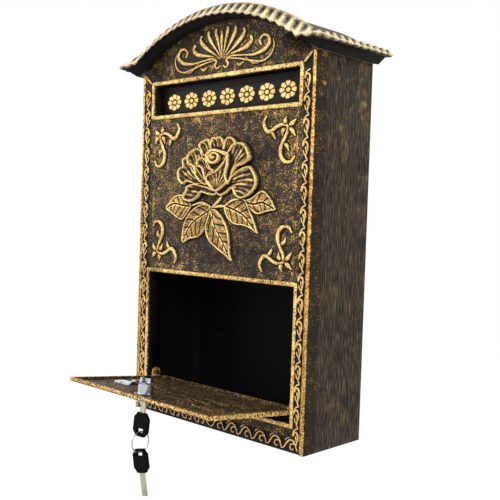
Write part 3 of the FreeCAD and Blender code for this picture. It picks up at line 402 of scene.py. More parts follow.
@dataclass(frozen=True)
class AntiquePaint:
    """Near-black ground under gold that was rubbed over the raised places; places are in millimetres."""

    name: str
    ground: Colour = (0.009, 0.0075, 0.0065)
    brown: Colour = (0.060, 0.040, 0.023)
    gold: Colour = (0.47, 0.27, 0.072)
    bright: Colour = (0.93, 0.69, 0.28)
    brown_at: Ease = (0.05, 0.42)
    gold_at: Ease = (0.48, 0.68)
    bright_at: Ease = (0.78, 1.1)
    amount: float = 0.36
    grain: float = 640.0
    coarser: float = 0.22
    contrast: float = 4.2
    flecks: float = 0.5
    clouds: float = 0.45
    broad: float = 17.0
    drift: float = 0.45
    stretch: Row = (1.0, 1.0, 1.0)
    # Weight of the gilt attribute: rubbed gold, and painted shade round carvings and under the roof's visor.
    rub_and_shade: float = 0.62
    proud: float | None = None
    proud_slope: float = 1.2
    proud_gold: float = 0.66
    marks: Callable[[Shader, Signal, Signal], Signal] | None = None
    inside: tuple[float, float] | None = None
    inside_dark: float = 1.2
    shine: float = 0.12
    patches: float = 0.0
    patch_noise: float = 75.0
    patch_blotches: Ease = (0.5, 0.72)
    patch_heights: Ease = (210.0, 360.0)
    rear: float = 0.0
    bead: Ease | None = None
    warmth: Colour = (1.0, 0.84, 0.60)

    def level(self, shader: Shader, mottle: Signal, across: Signal, depth: Signal, up: Signal) -> Signal:
        """How much gold a place carries, before the dark inside.

        Args:
            shader: Material under construction.
            mottle: Fine mottling.
            across: Distance from the middle.
            depth: Distance in front of the wall.
            up: Height over the foot.

        Returns:
            The level; more is brighter.
        """
        level = mottle + (shader.noise(self.broad, 3) - 0.5) * self.drift + self.amount
        # The gilt attribute brings rubbed gold, and painted shade round carvings and under the roof's visor.
        level = level + shader.out("ShaderNodeAttribute", "Fac", attribute_name="gilt") * self.rub_and_shade
        if self.proud is not None:
            level = level + depth.step(self.proud, self.proud + self.proud_slope) * self.proud_gold
        if self.rear:
            facing = shader.split(shader.out("ShaderNodeTexCoord", "Normal"))[1]
            level = level + facing.step(0.3, 0.6) * self.rear
        if self.patches:
            cloud = shader.noise(self.patch_noise, 5).step(*self.patch_blotches) * up.step(*self.patch_heights)
            level = level + cloud * self.patches
        return level + self.marks(shader, across, up) if self.marks else level

    def build(self) -> Material:
        """Build the material.

        Returns:
            The material.
        """
        shader = Shader(self.name)
        x, y, z = shader.split(shader.place)
        across, depth, up = x.sum("ABSOLUTE") * METRE, y * -METRE, z * METRE + MOUNT
        fine = shader.noise(self.grain, 5, self.stretch, 0.7)
        coarse = shader.noise(self.grain * self.coarser, 4, self.stretch)
        mottle = (fine - 0.5) * (self.contrast * self.flecks) + (coarse - 0.5) * (2 * self.clouds * self.flecks)
        level = self.level(shader, mottle, across, depth, up)
        shine: Signal | float = self.shine
        if self.inside is not None:
            half, front = self.inside
            within = across.step(half, half - 0.4) * depth.step(front, front - 0.6)
            level = level - within * self.inside_dark
            shine = within * -self.shine + self.shine
        base = shader.mix(level.step(*self.brown_at), self.ground, self.brown)
        base = shader.mix(level.step(*self.gold_at), base, self.gold)
        base = shader.mix(level.step(*self.bright_at), base, self.bright)
        if self.bead is not None:
            base = shader.mix(across.step(*self.bead), base, self.warmth, "MULTIPLY")
        return shader.finish({"Base Color": base, "Metallic": level.step(0.5, 0.7) * 0.35,
                              "Roughness": fine * -0.3 + 0.66, "Specular IOR Level": shine},
                             fine + coarse, 0.0005, 0.6)


@dataclass(frozen=True)
class PlainFinish:
    """Metal or plastic with a fine grain and patches of tarnish or wear; on the chrome the dark patches are also
    painted reflections.
    """

    name: str
    colour: Colour
    # Colour of the patches; on the chrome it is a dark painted reflection as well as tarnish.
    worn: Colour
    roughness: float = 0.16
    metallic: float = 1.0
    specular: float = 0.5
    patch: float = 160.0
    patch_detail: int = 4
    spread: Ease = (0.45, 0.8)
    grain: float = 1800.0
    stretch: Row = (1.0, 1.0, 0.15)
    relief: float = 0.3

    def build(self) -> Material:
        """Build the material.

        Returns:
            The material.
        """
        shader = Shader(self.name)
        wear_and_reflection = shader.noise(self.patch, self.patch_detail)
        return shader.finish({"Base Color": shader.mix(wear_and_reflection.step(*self.spread), self.colour, self.worn),
                              "Metallic": self.metallic, "Roughness": wear_and_reflection * 0.2 + self.roughness,
                              "Specular IOR Level": self.specular},
                             shader.noise(self.grain, 3, self.stretch), 0.0001, self.relief)


# Carving on a fine grid

@dataclass(frozen=True)
class Leaf:
    """A leaf; its outline and its midrib, from the stem to the tip, are across, up, across, up and so on."""

    name: str
    level: float
    edge: Row
    rib: Row


@dataclass(frozen=True)
class Petal:
    """A petal, with the root that its folds run to; its outline is across, up, across, up and so on."""

    name: str
    level: float
    root: Row
    edge: Row
    dish: float = 2.6
    folds: float = 8.0


@dataclass
class Carving:
    """Heights over a flat field; across and up in millimetres."""

    left: float
    right: float
    low: float
    high: float
    step: float
    shallow: float = 0.04
    # The next three size the flat dark ring round each carving: painted shadow that outlines the forms.
    shadow_halo: float = 1.1
    shadow_halo_edge: float = 0.07
    shadow_halo_depth: float = 0.25
    across: np.ndarray = field(init=False)
    up: np.ndarray = field(init=False)
    height: np.ndarray = field(init=False)

    def __post_init__(self) -> None:
        """Lay out the grid."""
        columns, rows = (np.linspace(start, end, int(round((end - start) / self.step)) + 1)
                         for start, end in ((self.left, self.right), (self.low, self.high)))
        self.across, self.up = np.meshgrid(columns, rows)
        self.height = np.zeros_like(self.across)

    def near(self, path: np.ndarray) -> tuple[np.ndarray, np.ndarray, np.ndarray]:
        """Measure every grid point against a path.

        Args:
            path: Rows of across, up.

        Returns:
            Distance, place along the path from 0 to 1, and signed side.
        """
        best = np.full(self.across.shape, 1e9)
        share, side = np.zeros_like(best), np.zeros_like(best)
        lengths = np.hypot(*np.diff(path[:, :2], axis=0).T)
        total = max(lengths.sum(), TINY)
        run = 0.0
        for (ax, az), (bx, bz), length in zip(path[:-1, :2], path[1:, :2], lengths):
            dx, dz = bx - ax, bz - az
            t = np.clip(((self.across - ax) * dx + (self.up - az) * dz) / max(length ** 2, TINY), 0, 1)
            gap_x, gap_z = self.across - ax - t * dx, self.up - az - t * dz
            gap = np.hypot(gap_x, gap_z)
            closer = gap < best
            best = np.where(closer, gap, best)
            share = np.where(closer, (run + t * length) / total, share)
            side = np.where(closer, np.sign(dx * gap_z - dz * gap_x) * gap, side)
            run += length
        return best, share, side

    def depth(self, edge: np.ndarray) -> np.ndarray:
        """Distance of every grid point into a closed edge; negative outside.

        Args:
            edge: Rows of across, up.

        Returns:
            The distances.
        """
        gap, _, _ = self.near(np.vstack([edge, edge[:1]]))
        inside = np.zeros(self.across.shape, bool)
        for (ax, az), (bx, bz) in zip(edge, np.roll(edge, -1, 0)):
            where = ax + (self.up - az) * (bx - ax) / (bz - az if abs(bz - az) > TINY else TINY)
            inside ^= ((az > self.up) != (bz > self.up)) & (self.across < where)
        return np.where(inside, gap, -gap)

    def stroke(self, points: Sequence[Sequence[float]], rise: float, steps: int = 5) -> None:
        """Carve a rounded stroke.

        Args:
            points: Rows of across, up, half width.
            rise: Height at its widest place.
            steps: Pieces between two points.
        """
        path = smooth_path(points, steps)
        gap, share, _ = self.near(path)
        half = np.interp(share, np.linspace(0, 1, len(path)), np.maximum(path[:, 2], 0.2))
        dome = np.clip(1 - (gap / half) ** 2, 0, 1) ** 0.5
        self.height = np.maximum(self.height, rise * np.clip(half / path[:, 2].max(), 0.35, 1) * dome)

    def lay(self, form: np.ndarray, into: np.ndarray, soft: float = 0.75) -> None:
        """Lay a form over what is there, with a short slope at its edge.

        Args:
            form: Heights of the form.
            into: Distance of every grid point into it.
            soft: Half width of the slope.
        """
        share = ramp(into, -soft, soft)
        share = share * share * (3 - 2 * share)
        self.height = self.height * (1 - share) + form * share

    def leaf(self, leaf: Leaf) -> None:
        """Carve a leaf with a raised margin, a midrib and side veins.

        Args:
            leaf: Its sizes.
        """
        into = self.depth(smooth_path(np.reshape(leaf.edge, (-1, 2)), 6, closed=True))
        gap = np.clip(into, 0, None)
        middle, along, side = self.near(smooth_path(np.reshape(leaf.rib, (-1, 2)), 8))
        veins = np.abs(((along * 5.5 + np.sign(side) * 0.13 - np.abs(side) * 0.085) % 1.0) - 0.5) * 2
        blade = ramp(gap, 1.0, 3.0)
        groove = ramp(veins, 0.3, 0.0) * ramp(middle, 0.0, 1.5) * blade
        swell = veins * ramp(middle, 0.0, 3.0) * blade
        midrib = (0.5 * bell(middle, 1.4, 0.6) - 1.5 * bell(middle, 0.0, 0.7)) * ramp(gap, 0.0, 2.0)
        form = leaf.level * 0.66 + 1.3 * bell(gap, 0.8, 0.72) + 0.6 * swell - groove + midrib
        self.lay(np.maximum(form, 0.3), into)

    def petal(self, petal: Petal) -> None:
        """Carve a petal with a rolled rim over a hollow that runs down to its root.

        Args:
            petal: Its sizes.
        """
        edge = np.reshape(petal.edge, (-1, 2))
        into = self.depth(smooth_path(edge, 6, closed=True))
        gap = np.clip(into, 0, None)
        across, up = self.across - petal.root[0], self.up - petal.root[1]
        turn, reach = np.arctan2(up, across) * petal.folds, np.hypot(across, up)
        far = np.hypot(*(edge - petal.root).T).max()
        hollow = ramp(gap, 1.3, 5.8) ** 0.6
        ripple = (0.8 * np.cos(turn * 2.6 + 0.6 * np.sin(reach * 0.45) + petal.root[0])
                  + 0.6 * np.cos(turn * 5.6 + 0.35 * reach))
        form = petal.level * (0.8 + 0.2 * ramp(reach, 0.0, far)) + bell(gap, 0.8, 0.68) - petal.dish * hollow
        self.lay(np.maximum(form + 0.62 * ripple * hollow, 0.4), into)

    def gilt(self, reach: float = 1.7, depth: float = 0.75) -> np.ndarray:
        """Work out how much gold each place catches: edges catch it, hollows stay dark.

        Args:
            reach: Width over which an edge is seen.
            depth: Height that catches all of it.

        Returns:
            The gold, from -1 to 1.
        """
        cells = reach / self.step
        detail = (self.height - soften(self.height, cells)) / depth
        near = (self.height - soften(self.height, cells * 0.4)) / (depth * 0.35)
        value = np.clip(detail, -1, 1) + 0.35 * np.clip(near, -1, 1) + 0.04 * ramp(self.height, 0.0, 2.0)
        return np.clip(value, -1, 1)

    def piece(self, name: str, place: Callable[[np.ndarray, np.ndarray, np.ndarray], np.ndarray],
              gilt: np.ndarray | None = None) -> Object:
        """Turn the carving and a flat ring of painted shadow round it into a closed piece.

        Args:
            name: Name of the piece.
            place: Turns across, up and height into x, y, z rows.
            gilt: Gold at each place; worked out where left out.

        Returns:
            The piece.
        """
        # Flat cells round the carving get a dark value: painted shadow outlining each form.
        shadow_halo = soften((self.height > self.shallow).astype(float), self.shadow_halo / self.step)
        carved = shadow_halo > self.shadow_halo_edge
        rub_and_shade = np.where(self.height > self.shallow, self.gilt() if gilt is None else gilt,
                       -ramp(shadow_halo, self.shadow_halo_edge, self.shadow_halo_edge + self.shadow_halo_depth))
        cell = carved[:-1, :-1] | carved[:-1, 1:] | carved[1:, 1:] | carved[1:, :-1]
        index = np.arange(carved.size).reshape(carved.shape)
        quads = np.stack([index[:-1, :-1], index[:-1, 1:], index[1:, 1:], index[1:, :-1]], -1)[cell]
        used, corners = np.unique(quads, return_inverse=True)
        height = np.where(carved, self.height + LIFT, -LIFT).ravel()[used]
        top = place(self.across.ravel()[used], self.up.ravel()[used], height)
        return put(name, closed_mesh(name, top, corners.reshape(-1, 4).tolist(), rub_and_shade.ravel()[used], fill=True))


def on_face(across: np.ndarray, up: np.ndarray, height: np.ndarray) -> np.ndarray:
    """Place carving on the face of the front casting."""
    return np.column_stack([across, FACE - height, up - MOUNT])


# Repeats

def stroke_mesh(name: str, strokes: Sequence[Stroke], side: int, fuller: float = 1.0) -> Mesh:
    """Make small rounded strokes that lie on the face of the front.

    Args:
        name: Name of the mesh.
        strokes: Each a list of across, up, half width, height.
        side: 1, or -1 for the mirrored unit.
        fuller: Factor on the half width.

    Returns:
        The mesh, with x, z from the unit's own origin.
    """
    verts: list[Row] = []
    faces: list[Face] = []
    gilt: list[float] = []
    angles = np.linspace(0, math.pi, 7)
    for stroke in strokes:
        path = smooth_path(stroke, 3)
        ahead = np.gradient(path[:, :2], axis=0)
        ahead /= np.maximum(np.hypot(*ahead.T), TINY)[:, None]
        faces += loft(len(path), len(angles), len(verts))
        for (across, up, half, height), (dx, dz) in zip(path, ahead):
            for angle in angles:
                aside = half * fuller * math.cos(angle)
                verts.append((side * (across - dz * aside), LIFT - height * math.sin(angle), up + dx * aside))
                gilt.append(1.9 * math.sin(angle) - 0.9)
    return closed_mesh(name, verts, faces, gilt)


def repeat(name: str, unit_mesh: Mesh, material: Material, count: int, start: Row, pitch: Row) -> Object:
    """Repeat a unit along a row with Geometry Nodes and keep the result as one plain mesh.

    Args:
        name: Name of the piece.
        unit_mesh: Mesh of one unit.
        material: Its material.
        count: Number of units.
        start: Place of the first, in millimetres over the foot of the body.
        pitch: Step to the next, in millimetres.

    Returns:
        The piece.
    """
    unit = put(f"{name}_unit", unit_mesh)
    holder = put(name, bpy.data.meshes.new(f"{name}_seed"))
    tree = bpy.data.node_groups.new(f"{name}_row", "GeometryNodeTree")
    for key, kind in (("Geometry", "Geometry"), ("Count", "Int"), ("Start", "Vector"), ("Pitch", "Vector")):
        tree.interface.new_socket(key, in_out="INPUT", socket_type=f"NodeSocket{kind}")
    tree.interface.new_socket("Geometry", in_out="OUTPUT", socket_type="NodeSocketGeometry")
    nodes = Nodes(tree)
    entry = nodes.add("NodeGroupInput").outputs
    line = nodes.out("GeometryNodeMeshLine", "Mesh", {
        "Count": Signal(nodes, entry["Count"]), "Start Location": Signal(nodes, entry["Start"]),
        "Offset": Signal(nodes, entry["Pitch"])})
    held = nodes.out("GeometryNodeObjectInfo", "Geometry", {"Object": unit})
    copies = nodes.out("GeometryNodeInstanceOnPoints", "Instances", {"Points": line, "Instance": held})
    real = nodes.out("GeometryNodeRealizeInstances", "Geometry", {"Geometry": copies})
    painted = nodes.out("GeometryNodeSetMaterial", "Geometry", {"Geometry": real, "Material": material})
    nodes.add("NodeGroupOutput", {"Geometry": painted})
    modifier = holder.modifiers.new("row", "NODES")
    modifier.node_group = tree
    values = {"Count": count, "Start": tuple(a * MM for a in (start[0], start[1], start[2] - MOUNT)),
              "Pitch": tuple(a * MM for a in pitch)}
    for item in tree.interface.items_tree:
        if item.in_out == "INPUT" and item.name in values:
            modifier[item.identifier] = values[item.name]
    bpy.context.view_layer.update()
    plain = bpy.data.meshes.new_from_object(holder.evaluated_get(bpy.context.evaluated_depsgraph_get()))
    holder.modifiers.remove(modifier)
    holder.data = plain
    bpy.data.objects.remove(unit)
    return holder


# Sub-assemblies

class Side(Enum):
    """Side of the box."""

    LEFT = -1
    RIGHT = 1


class Part:
    """One sub-assembly."""

    def build(self, paints: Mapping[str, Material]) -> list[Object]:
        """Build the pieces.

        Args:
            paints: All materials by name.

        Returns:
            The finished pieces.
        """
        raise NotImplementedError


@dataclass
class RosePanel(Part):
    """The open bloom, its five leaves and the four corner sprigs."""

    half_width: float = 84.0
    low: float = 173.4
    high: float = 303.4
    step: float = 0.48
    slender: float = 1.12
    stalk_rise: float = 4.2
    bowl_middle: Row = (1.5, 280.0)
    bowl_half: Row = (11.0, 8.5)
    bowl_level: float = 9.2
    spiral_rise: float = 2.6
    sprig_step: float = 0.35
    sprig_size: float = 52.0
    sprig_rise: float = 3.0
    sprig_margins: Row = (1.2, 5.0, 5.5)
    panel_half: float = 104.2
    panel_low: float = 162.0
    panel_high: float = 323.4
    leaves: tuple[Leaf, ...] = (
        Leaf("left", 3.4, (-37.9, 231.6, -45.2, 237.3, -53.3, 242.1, -62.9, 241.3, -72.6, 234.8, -78.7, 226.8, -69.4,
             221.6, -59.7, 216.8, -51.6, 215.2, -42, 224.4),
             (-35.5, 229.2, -51.6, 230.8, -66.2, 232.2, -78.3, 227.1)),
        Leaf("far_right", 3.4, (38.7, 235.6, 50, 226.8, 58, 223.2, 70.9, 226, 80.9, 228.1, 79, 233.2, 72.5, 241.3,
             62.9, 246.5, 50, 239.7),
             (37.9, 235.6, 53.2, 233.2, 64.5, 234.8, 80.6, 228.4)),
        Leaf("right", 4, (12.5, 231.3, 16.1, 220, 26.1, 212.9, 40.3, 211.3, 51.6, 208.1, 59.3, 204.5, 54.8, 215.5,
             48.4, 226.8, 40.3, 238.1, 27.4, 237.7),
             (12.5, 231.3, 27.4, 226.8, 41.9, 220.3, 58.8, 204.8)),
        Leaf("lower_left", 4.4, (-7.3, 226.8, -9.7, 231.6, -21, 232.4, -33.1, 227.6, -43.6, 218.7, -49.2, 207.4, -50,
             191, -38.7, 195.2, -25.8, 197.7, -16.2, 205.8, -9.7, 218.4),
             (-7.3, 226.8, -21, 220.3, -37.1, 210.3, -49.7, 191.6)),
        Leaf("lower_middle", 4.8, (-5.1, 227.8, -11.3, 217.1, -14.2, 205.8, -8.1, 194.2, 4.8, 186.1, 16.1, 180.6,
             24.5, 175.5, 22.2, 184.8, 20.9, 197.7, 16.1, 211.5, 6.4, 222.7),
             (-5.2, 226.8, -1.6, 212.3, 11.3, 194.5, 24.2, 176)),
    )
    petals: tuple[Petal, ...] = (
        Petal("ruffle_left", 6.2, (-8, 280), (-25, 291.3, -24.2, 295.3, -17.8, 298.5, -12.1, 299.4, -8.9, 295.3, -4.9,
              288.9, -5.7, 281.2, -16.2, 281.2, -21, 287.3)),
        Petal("ruffle_right", 6.2, (12, 280), (12.9, 295.3, 17.7, 300.2, 24.2, 298.5, 28.2, 293.7, 24.5, 284.7, 13.3,
              284.3)),
        Petal("ruffle_middle", 6.8, (3, 278), (-7.3, 295.3, -4.1, 301, 0.8, 299.4, 4, 301.3, 9.6, 298.5, 12.9, 291.3,
              10.6, 284.3, -1.6, 284.8, -6.7, 288.5)),
        Petal("left_outer", 5.6, (-14, 252), (-58.4, 265.5, -55.2, 270.6, -50.4, 272.3, -51.3, 278.7, -45.2, 281.9,
              -38.7, 276.8, -33.9, 267.1, -24.2, 259, -15.8, 253.4, -30.7, 252.9, -43.6, 255.5, -50, 252.6, -56.5,
              257.4)),
        Petal("right_lower", 6.4, (8, 247), (13.1, 251, 24.2, 260.6, 32.2, 266.3, 46.7, 270.6, 53.5, 265.5, 58.4,
              256.6, 56.4, 249, 48.4, 241.9, 37.9, 238.4, 29.8, 241, 24.2, 248.1, 16.1, 243.7, 6.4, 241, 3.8, 246.1)),
        Petal("left_upper", 7.4, (-13, 254), (-42.3, 280.8, -37.5, 286.8, -27.5, 290.3, -20.7, 287.7, -17.5, 281.6,
              -15.8, 275.2, -12.2, 265.5, -11.5, 252.2, -21, 254.5, -28.3, 260.6, -32.3, 270, -39.5, 273.9)),
        Petal("right_upper", 8, (17, 256), (17, 280, 21.6, 287.7, 27.4, 292.6, 37.1, 293.9, 43.8, 289.7, 48.7, 281.6,
              48, 276.5, 40.3, 271.9, 29.8, 268.7, 24.2, 259, 19.6, 252.2, 14.1, 258.6, 15, 270.3)),
        Petal("left_lower", 7, (0, 248), (-41.6, 251, -30.7, 253.5, -17.8, 251.6, -8.1, 249.4, 1.6, 246.1, 6.1, 245.5,
              -0.8, 241.3, -9.7, 241.9, -20.2, 243.9, -25.8, 238.7, -36.3, 234.5, -46, 236.8, -47.1, 241.9, -42.8,
              246.9)),
        Petal("cup", 9.2, (3, 270), (-11.6, 280.8, -8.9, 286.1, -0.8, 288.7, 9.6, 287.1, 19.6, 284, 21.6, 280, 16.1,
              270.9, 6.4, 263.5, -1.6, 264.3, -8.1, 271.7)),
        Petal("fold", 9.6, (-6, 258), (-24.5, 276.8, -16.5, 280.3, -9.7, 276.8, -7.8, 270.6, 0.3, 266.8, -6.2, 262.8,
              -9.4, 256.1, -13.3, 258.6, -17, 268.4, -23.6, 271)),
        Petal("heart", 10.4, (4, 247), (-10, 256.6, -7.5, 262.3, 4, 266.5, 15.3, 274.4, 21.9, 281.6, 21.6, 271.9,
              18.7, 262.3, 20.9, 255, 15.8, 250.6, 8, 246.5, 1.6, 245.5, -5.2, 250.3)),
    )
    spiral: Stroke = (
        (1.3, 280.3, 0.8), (-1.3, 279, 0.9), (-2, 282.6, 0.9), (2.5, 284.4, 0.9), (7.4, 282.4, 1), (8.4, 278.7, 1),
        (4.5, 275.2, 1), (-2.6, 274.5, 1), (-6.5, 278.2, 1), (-5.5, 283.2, 1), (-0.4, 286.6, 1), (9, 285.6, 0.9),
        (18, 281.8, 0.7),
    )
    stalks: tuple[Stroke, ...] = (
        ((8.5, 242, 1.1), (2.5, 235, 1.7), (-6, 228.5, 1.5)),
        ((-5, 228.5, 1.2), (4, 230.4, 1.7), (13, 231, 1.3), (23, 236.6, 1.6), (35, 238, 1.1)),
        ((-8, 229, 1.1), (-21, 233.6, 1.6), (-36, 231, 1.1)),
    )
    sprig: tuple[Stroke, ...] = (
        ((38.2, 0.8, 1.1), (41.2, 7, 1.7), (37, 14.4, 2.1), (31.5, 15.6, 2.1), (25, 11.8, 1.8), (17.6, 9.6, 1.7),
         (11, 11, 1.5)),
        ((10, 12, 1.6), (11.2, 18, 1.7), (15, 25, 1.9), (18.4, 33, 2.1), (17, 40.4, 2.1), (11.4, 45.2, 2.1),
         (5.2, 44.6, 1.8), (1.6, 40, 1.1)),
        ((11.4, 10.4, 0.8), (13.8, 6.6, 2.2), (12.6, 2.2, 0.7)),
        ((10.4, 11, 0.8), (5.6, 9.4, 2.4), (0.8, 5.2, 0.8)),
        ((9.8, 12, 0.8), (5, 15.4, 2.2), (1.4, 20.6, 0.8)),
        ((11.2, 13.4, 0.8), (16, 15.4, 2.2), (17, 20.2, 0.7)),
        ((31, 15.6, 1.2), (28, 18.6, 1.7), (26, 22.4, 1)),
        ((15.4, 27, 0.7), (10.6, 30, 1.9), (9, 34.4, 0.6)),
    )

    def corner(self, side: Side, top: bool, paint: Material) -> Object:
        """Carve the sprig in one corner of the panel.

        Args:
            side: Side of the panel.
            top: Whether it is an upper corner.
            paint: Its material.

        Returns:
            The piece.
        """
        sign = side.value
        aside, above, below = self.sprig_margins
        left, right = sorted((sign * (self.panel_half - self.sprig_size), sign * self.panel_half))
        low = self.panel_high - self.sprig_size if top else self.panel_low
        carving = Carving(left, right, low, low + self.sprig_size, self.sprig_step)
        edge, sense = (self.panel_high - above, -1) if top else (self.panel_low + below, 1)
        for stroke in self.sprig:
            carving.stroke([(sign * (self.panel_half - aside - u), edge + sense * v, half * self.slender)
                            for u, v, half in stroke], self.sprig_rise)
        name = f"sprig_{'upper' if top else 'lower'}_{side.name.lower()}"
        return carried(carving.piece(name, on_face), paint, "box")

    def bloom(self, paint: Material) -> Object:
        """Carve the leaves, lay the petals over them and set the spiral in the bowl.

        Args:
            paint: Its material.

        Returns:
            The piece.
        """
        carving = Carving(-self.half_width, self.half_width, self.low, self.high, self.step)
        for leaf in self.leaves:
            carving.leaf(leaf)
        for stroke in self.stalks:
            carving.stroke(stroke, self.stalk_rise)
        for petal in self.petals:
            carving.petal(petal)
        path = smooth_path(self.spiral, 5)
        gap, share, _ = carving.near(path)
        half = np.interp(share, np.linspace(0, 1, len(path)), path[:, 2])
        ridge = np.clip(1 - (gap / (half * 1.5)) ** 2, 0, 1)
        bowl = np.hypot(*((place - middle) / size for place, middle, size in
                          zip((carving.across, carving.up), self.bowl_middle, self.bowl_half)))
        carving.lay(np.minimum(carving.height, self.bowl_level), (1 - bowl) * 8)
        spiral = np.maximum(carving.height, 9.0 + self.spiral_rise * ridge)
        carving.height = np.where(ridge > 0, spiral, carving.height)
        return carried(carving.piece("rose_bloom", on_face), paint, "box")

    def build(self, paints: Mapping[str, Material]) -> list[Object]:
        """Carve the bloom and the four sprigs."""
        sprigs = [self.corner(side, top, paints["antique_carving"]) for side in Side for top in (False, True)]
        return [self.bloom(paints["antique_bloom"]), *sprigs]


@dataclass
class Crest(Part):
    """The palmette and its horns under the arch."""

    half_width: float = 76.0
    low: float = 367.0
    high: float = 414.0
    slender: float = 0.86
    middle_rise: float = 3.0
    rise: float = 2.7
    step: float = 0.4
    lobes: tuple[Stroke, ...] = (
        ((0, 382, 0.7), (0.2, 394, 1.0), (0.2, 401, 1.7), (0, 407, 1.2)),
        ((0.9, 381.6, 0.7), (3.8, 391, 1.0), (6.2, 400, 1.5), (8.4, 406.6, 2.3), (8.2, 410.4, 2.0)),
        ((1.6, 381.2, 0.7), (7.6, 389, 1.1), (14.6, 397.6, 1.7), (19.0, 404.4, 2.7), (19.6, 408.8, 2.3)),
        ((2.2, 380.8, 0.7), (11, 386, 1.1), (21.4, 392.4, 1.7), (28.6, 398.2, 2.7), (31.8, 403.2, 3.0),
         (31.0, 406.2, 1.8)),
        ((3.0, 380.2, 0.7), (13, 383.6, 1.1), (26, 386.0, 1.6), (36, 388.4, 2.6), (41.6, 393.0, 3.1),
         (40.8, 397.6, 2.2)),
    )
    horns: tuple[Stroke, ...] = (
        ((2.6, 373.0, 1.0), (6.6, 371.0, 1.6), (9.6, 374.2, 1.6), (7.4, 378.4, 1.4), (14, 381.4, 1.2),
         (28, 380.6, 1.3), (43, 379.4, 1.7), (57, 381.4, 2.2), (65.5, 387.4, 2.7), (64, 394.6, 2.6),
         (57.4, 396.4, 2.2), (52.6, 392.4, 1.6), (54.4, 388.0, 1.5)),
        ((10, 379.6, 0.8), (26, 377.4, 1.1), (42, 373.6, 1.3), (56, 371.6, 1.4), (66.5, 375.4, 1.2),
         (71.5, 383.6, 0.9), (70.0, 391.4, 0.6)),
        ((22, 373.6, 0.8), (26, 371.2, 1.9), (31, 373.6, 0.8)),
        ((34, 378.4, 0.7), (44, 371.4, 1.1), (52, 370.2, 0.6)),
    )

    def build(self, paints: Mapping[str, Material]) -> list[Object]:
        """Carve the field under the arch."""
        carving = Carving(-self.half_width, self.half_width, self.low, self.high, self.step)
        carving.stroke(self.lobes[0], self.middle_rise)
        for stroke in (*self.lobes[1:], *self.horns):
            for side in Side:
                carving.stroke([(side.value * x, z, w * self.slender) for x, z, w in stroke], self.rise)
        return [carried(carving.piece("crest", on_face), paints["antique_carving"], "box")]


@dataclass
class Borders(Part):
    """Running scrolls up the sides and along the foot."""

    side_pitch: float = 20.8
    side_count: int = 17
    side_foot: float = 25.4
    side_inner: float = 111.3
    fuller: float = 1.16
    foot_pitch: float = 19.6
    foot_count: int = 6
    foot_middle: float = 7.6
    foot_start: float = 0.9
    shoulder: Stroke = (
        (110.4, 364.6, 1.3, 2.0), (113.6, 367.6, 1.5, 2.2), (117.4, 371.2, 1.4, 2.2), (120.4, 374.0, 1.1, 1.8))
    side_unit: tuple[Stroke, ...] = (
        ((6.6, -0.6, 0.8, 1.5), (3.6, -1.6, 1.0, 1.8), (1.2, -4.8, 1.15, 2.0), (0.9, -8.4, 1.2, 2.1),
         (2.2, -5.4, 1.0, 2.1), (4.4, -4.6, 1.15, 2.1), (6.3, -7.0, 1.25, 2.2), (6.5, -10.8, 1.25, 2.2),
         (5.2, -15.0, 1.1, 2.0), (4.4, -18.4, 0.95, 1.8), (6.2, -21.0, 0.8, 1.5)),
        ((3.0, -8.4, 0.4, 1.0), (3.9, -10.6, 1.0, 1.6), (3.5, -13.4, 0.4, 1.0)),
        ((1.0, -12.2, 0.5, 1.1), (2.2, -15.6, 0.9, 1.6), (3.9, -17.4, 0.5, 1.1)),
    )
    foot_unit: tuple[Stroke, ...] = (
        ((-1.4, -5.0, 0.6, 1.2), (2.6, -2.8, 0.95, 1.8), (5.8, 1.8, 1.1, 2.0), (9.8, 5.0, 1.2, 2.1),
         (14.2, 4.0, 1.15, 2.0), (16.8, 0.0, 1.0, 1.8), (18.2, -4.8, 0.6, 1.2)),
        ((16.2, 1.0, 0.5, 1.0), (13.6, 1.6, 0.9, 1.6), (10.8, 0.8, 0.95, 1.7), (9.6, -2.0, 0.95, 1.7),
         (11.4, -4.2, 0.8, 1.4), (13.6, -3.2, 0.6, 1.1)),
        ((3.0, 3.0, 0.4, 0.9), (5.0, 5.4, 0.9, 1.5), (8.0, 6.6, 0.4, 0.9)),
    )

    def build(self, paints: Mapping[str, Material]) -> list[Object]:
        """Lay out the scrolls on both sides."""
        paint, pieces = paints["antique_scroll"], []
        for side in Side:
            sign, word = side.value, side.name.lower()
            for name, strokes, fuller, count, start, pitch in (
                ("side_scroll", self.side_unit, self.fuller, self.side_count,
                 (sign * self.side_inner, FACE, self.side_foot), (0, 0, self.side_pitch)),
                ("foot_scroll", self.foot_unit, 1.0, self.foot_count,
                 (sign * self.foot_start, FACE, self.foot_middle), (sign * self.foot_pitch, 0, 0)),
                ("shoulder", [self.shoulder], 1.0, 1, (0, FACE, 0), (0, 0, 0)),
            ):
                unit = stroke_mesh(f"{name}_{word}_unit", strokes, sign, fuller)
                pieces.append(carried(repeat(f"{name}_{word}", unit, paint, count, start, pitch), paint, "box"))
        return pieces


def packed(node: str) -> Object:
    """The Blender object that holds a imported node."""
    return next(obj for obj in bpy.data.objects if obj.get("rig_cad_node") == node)


def pressed_copy(name: str, node: str, proud: Callable[[float, float, float], bool], face: float) -> Object:
    """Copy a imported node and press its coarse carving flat.

    Args:
        name: Name of the copy.
        node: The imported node.
        proud: Says whether a point, in millimetres over the foot, is carving.
        face: Depth that carved points are pressed to.

    Returns:
        The copy.
    """
    obj = put(name, packed(node).data.copy())
    mesh = bmesh.new()
    mesh.from_mesh(obj.data)
    bmesh.ops.remove_doubles(mesh, verts=mesh.verts, dist=1e-6)
    for vert in mesh.verts:
        if proud(vert.co.x / MM, vert.co.y / MM, vert.co.z / MM + MOUNT):
            vert.co.y = face * MM
    bmesh.ops.dissolve_degenerate(mesh, dist=1e-7, edges=mesh.edges)
    mesh.to_mesh(obj.data)
    mesh.free()
    obj.data.polygons.foreach_set("use_smooth", [True] * len(obj.data.polygons))
    sharpen(obj, 40)
    return obj


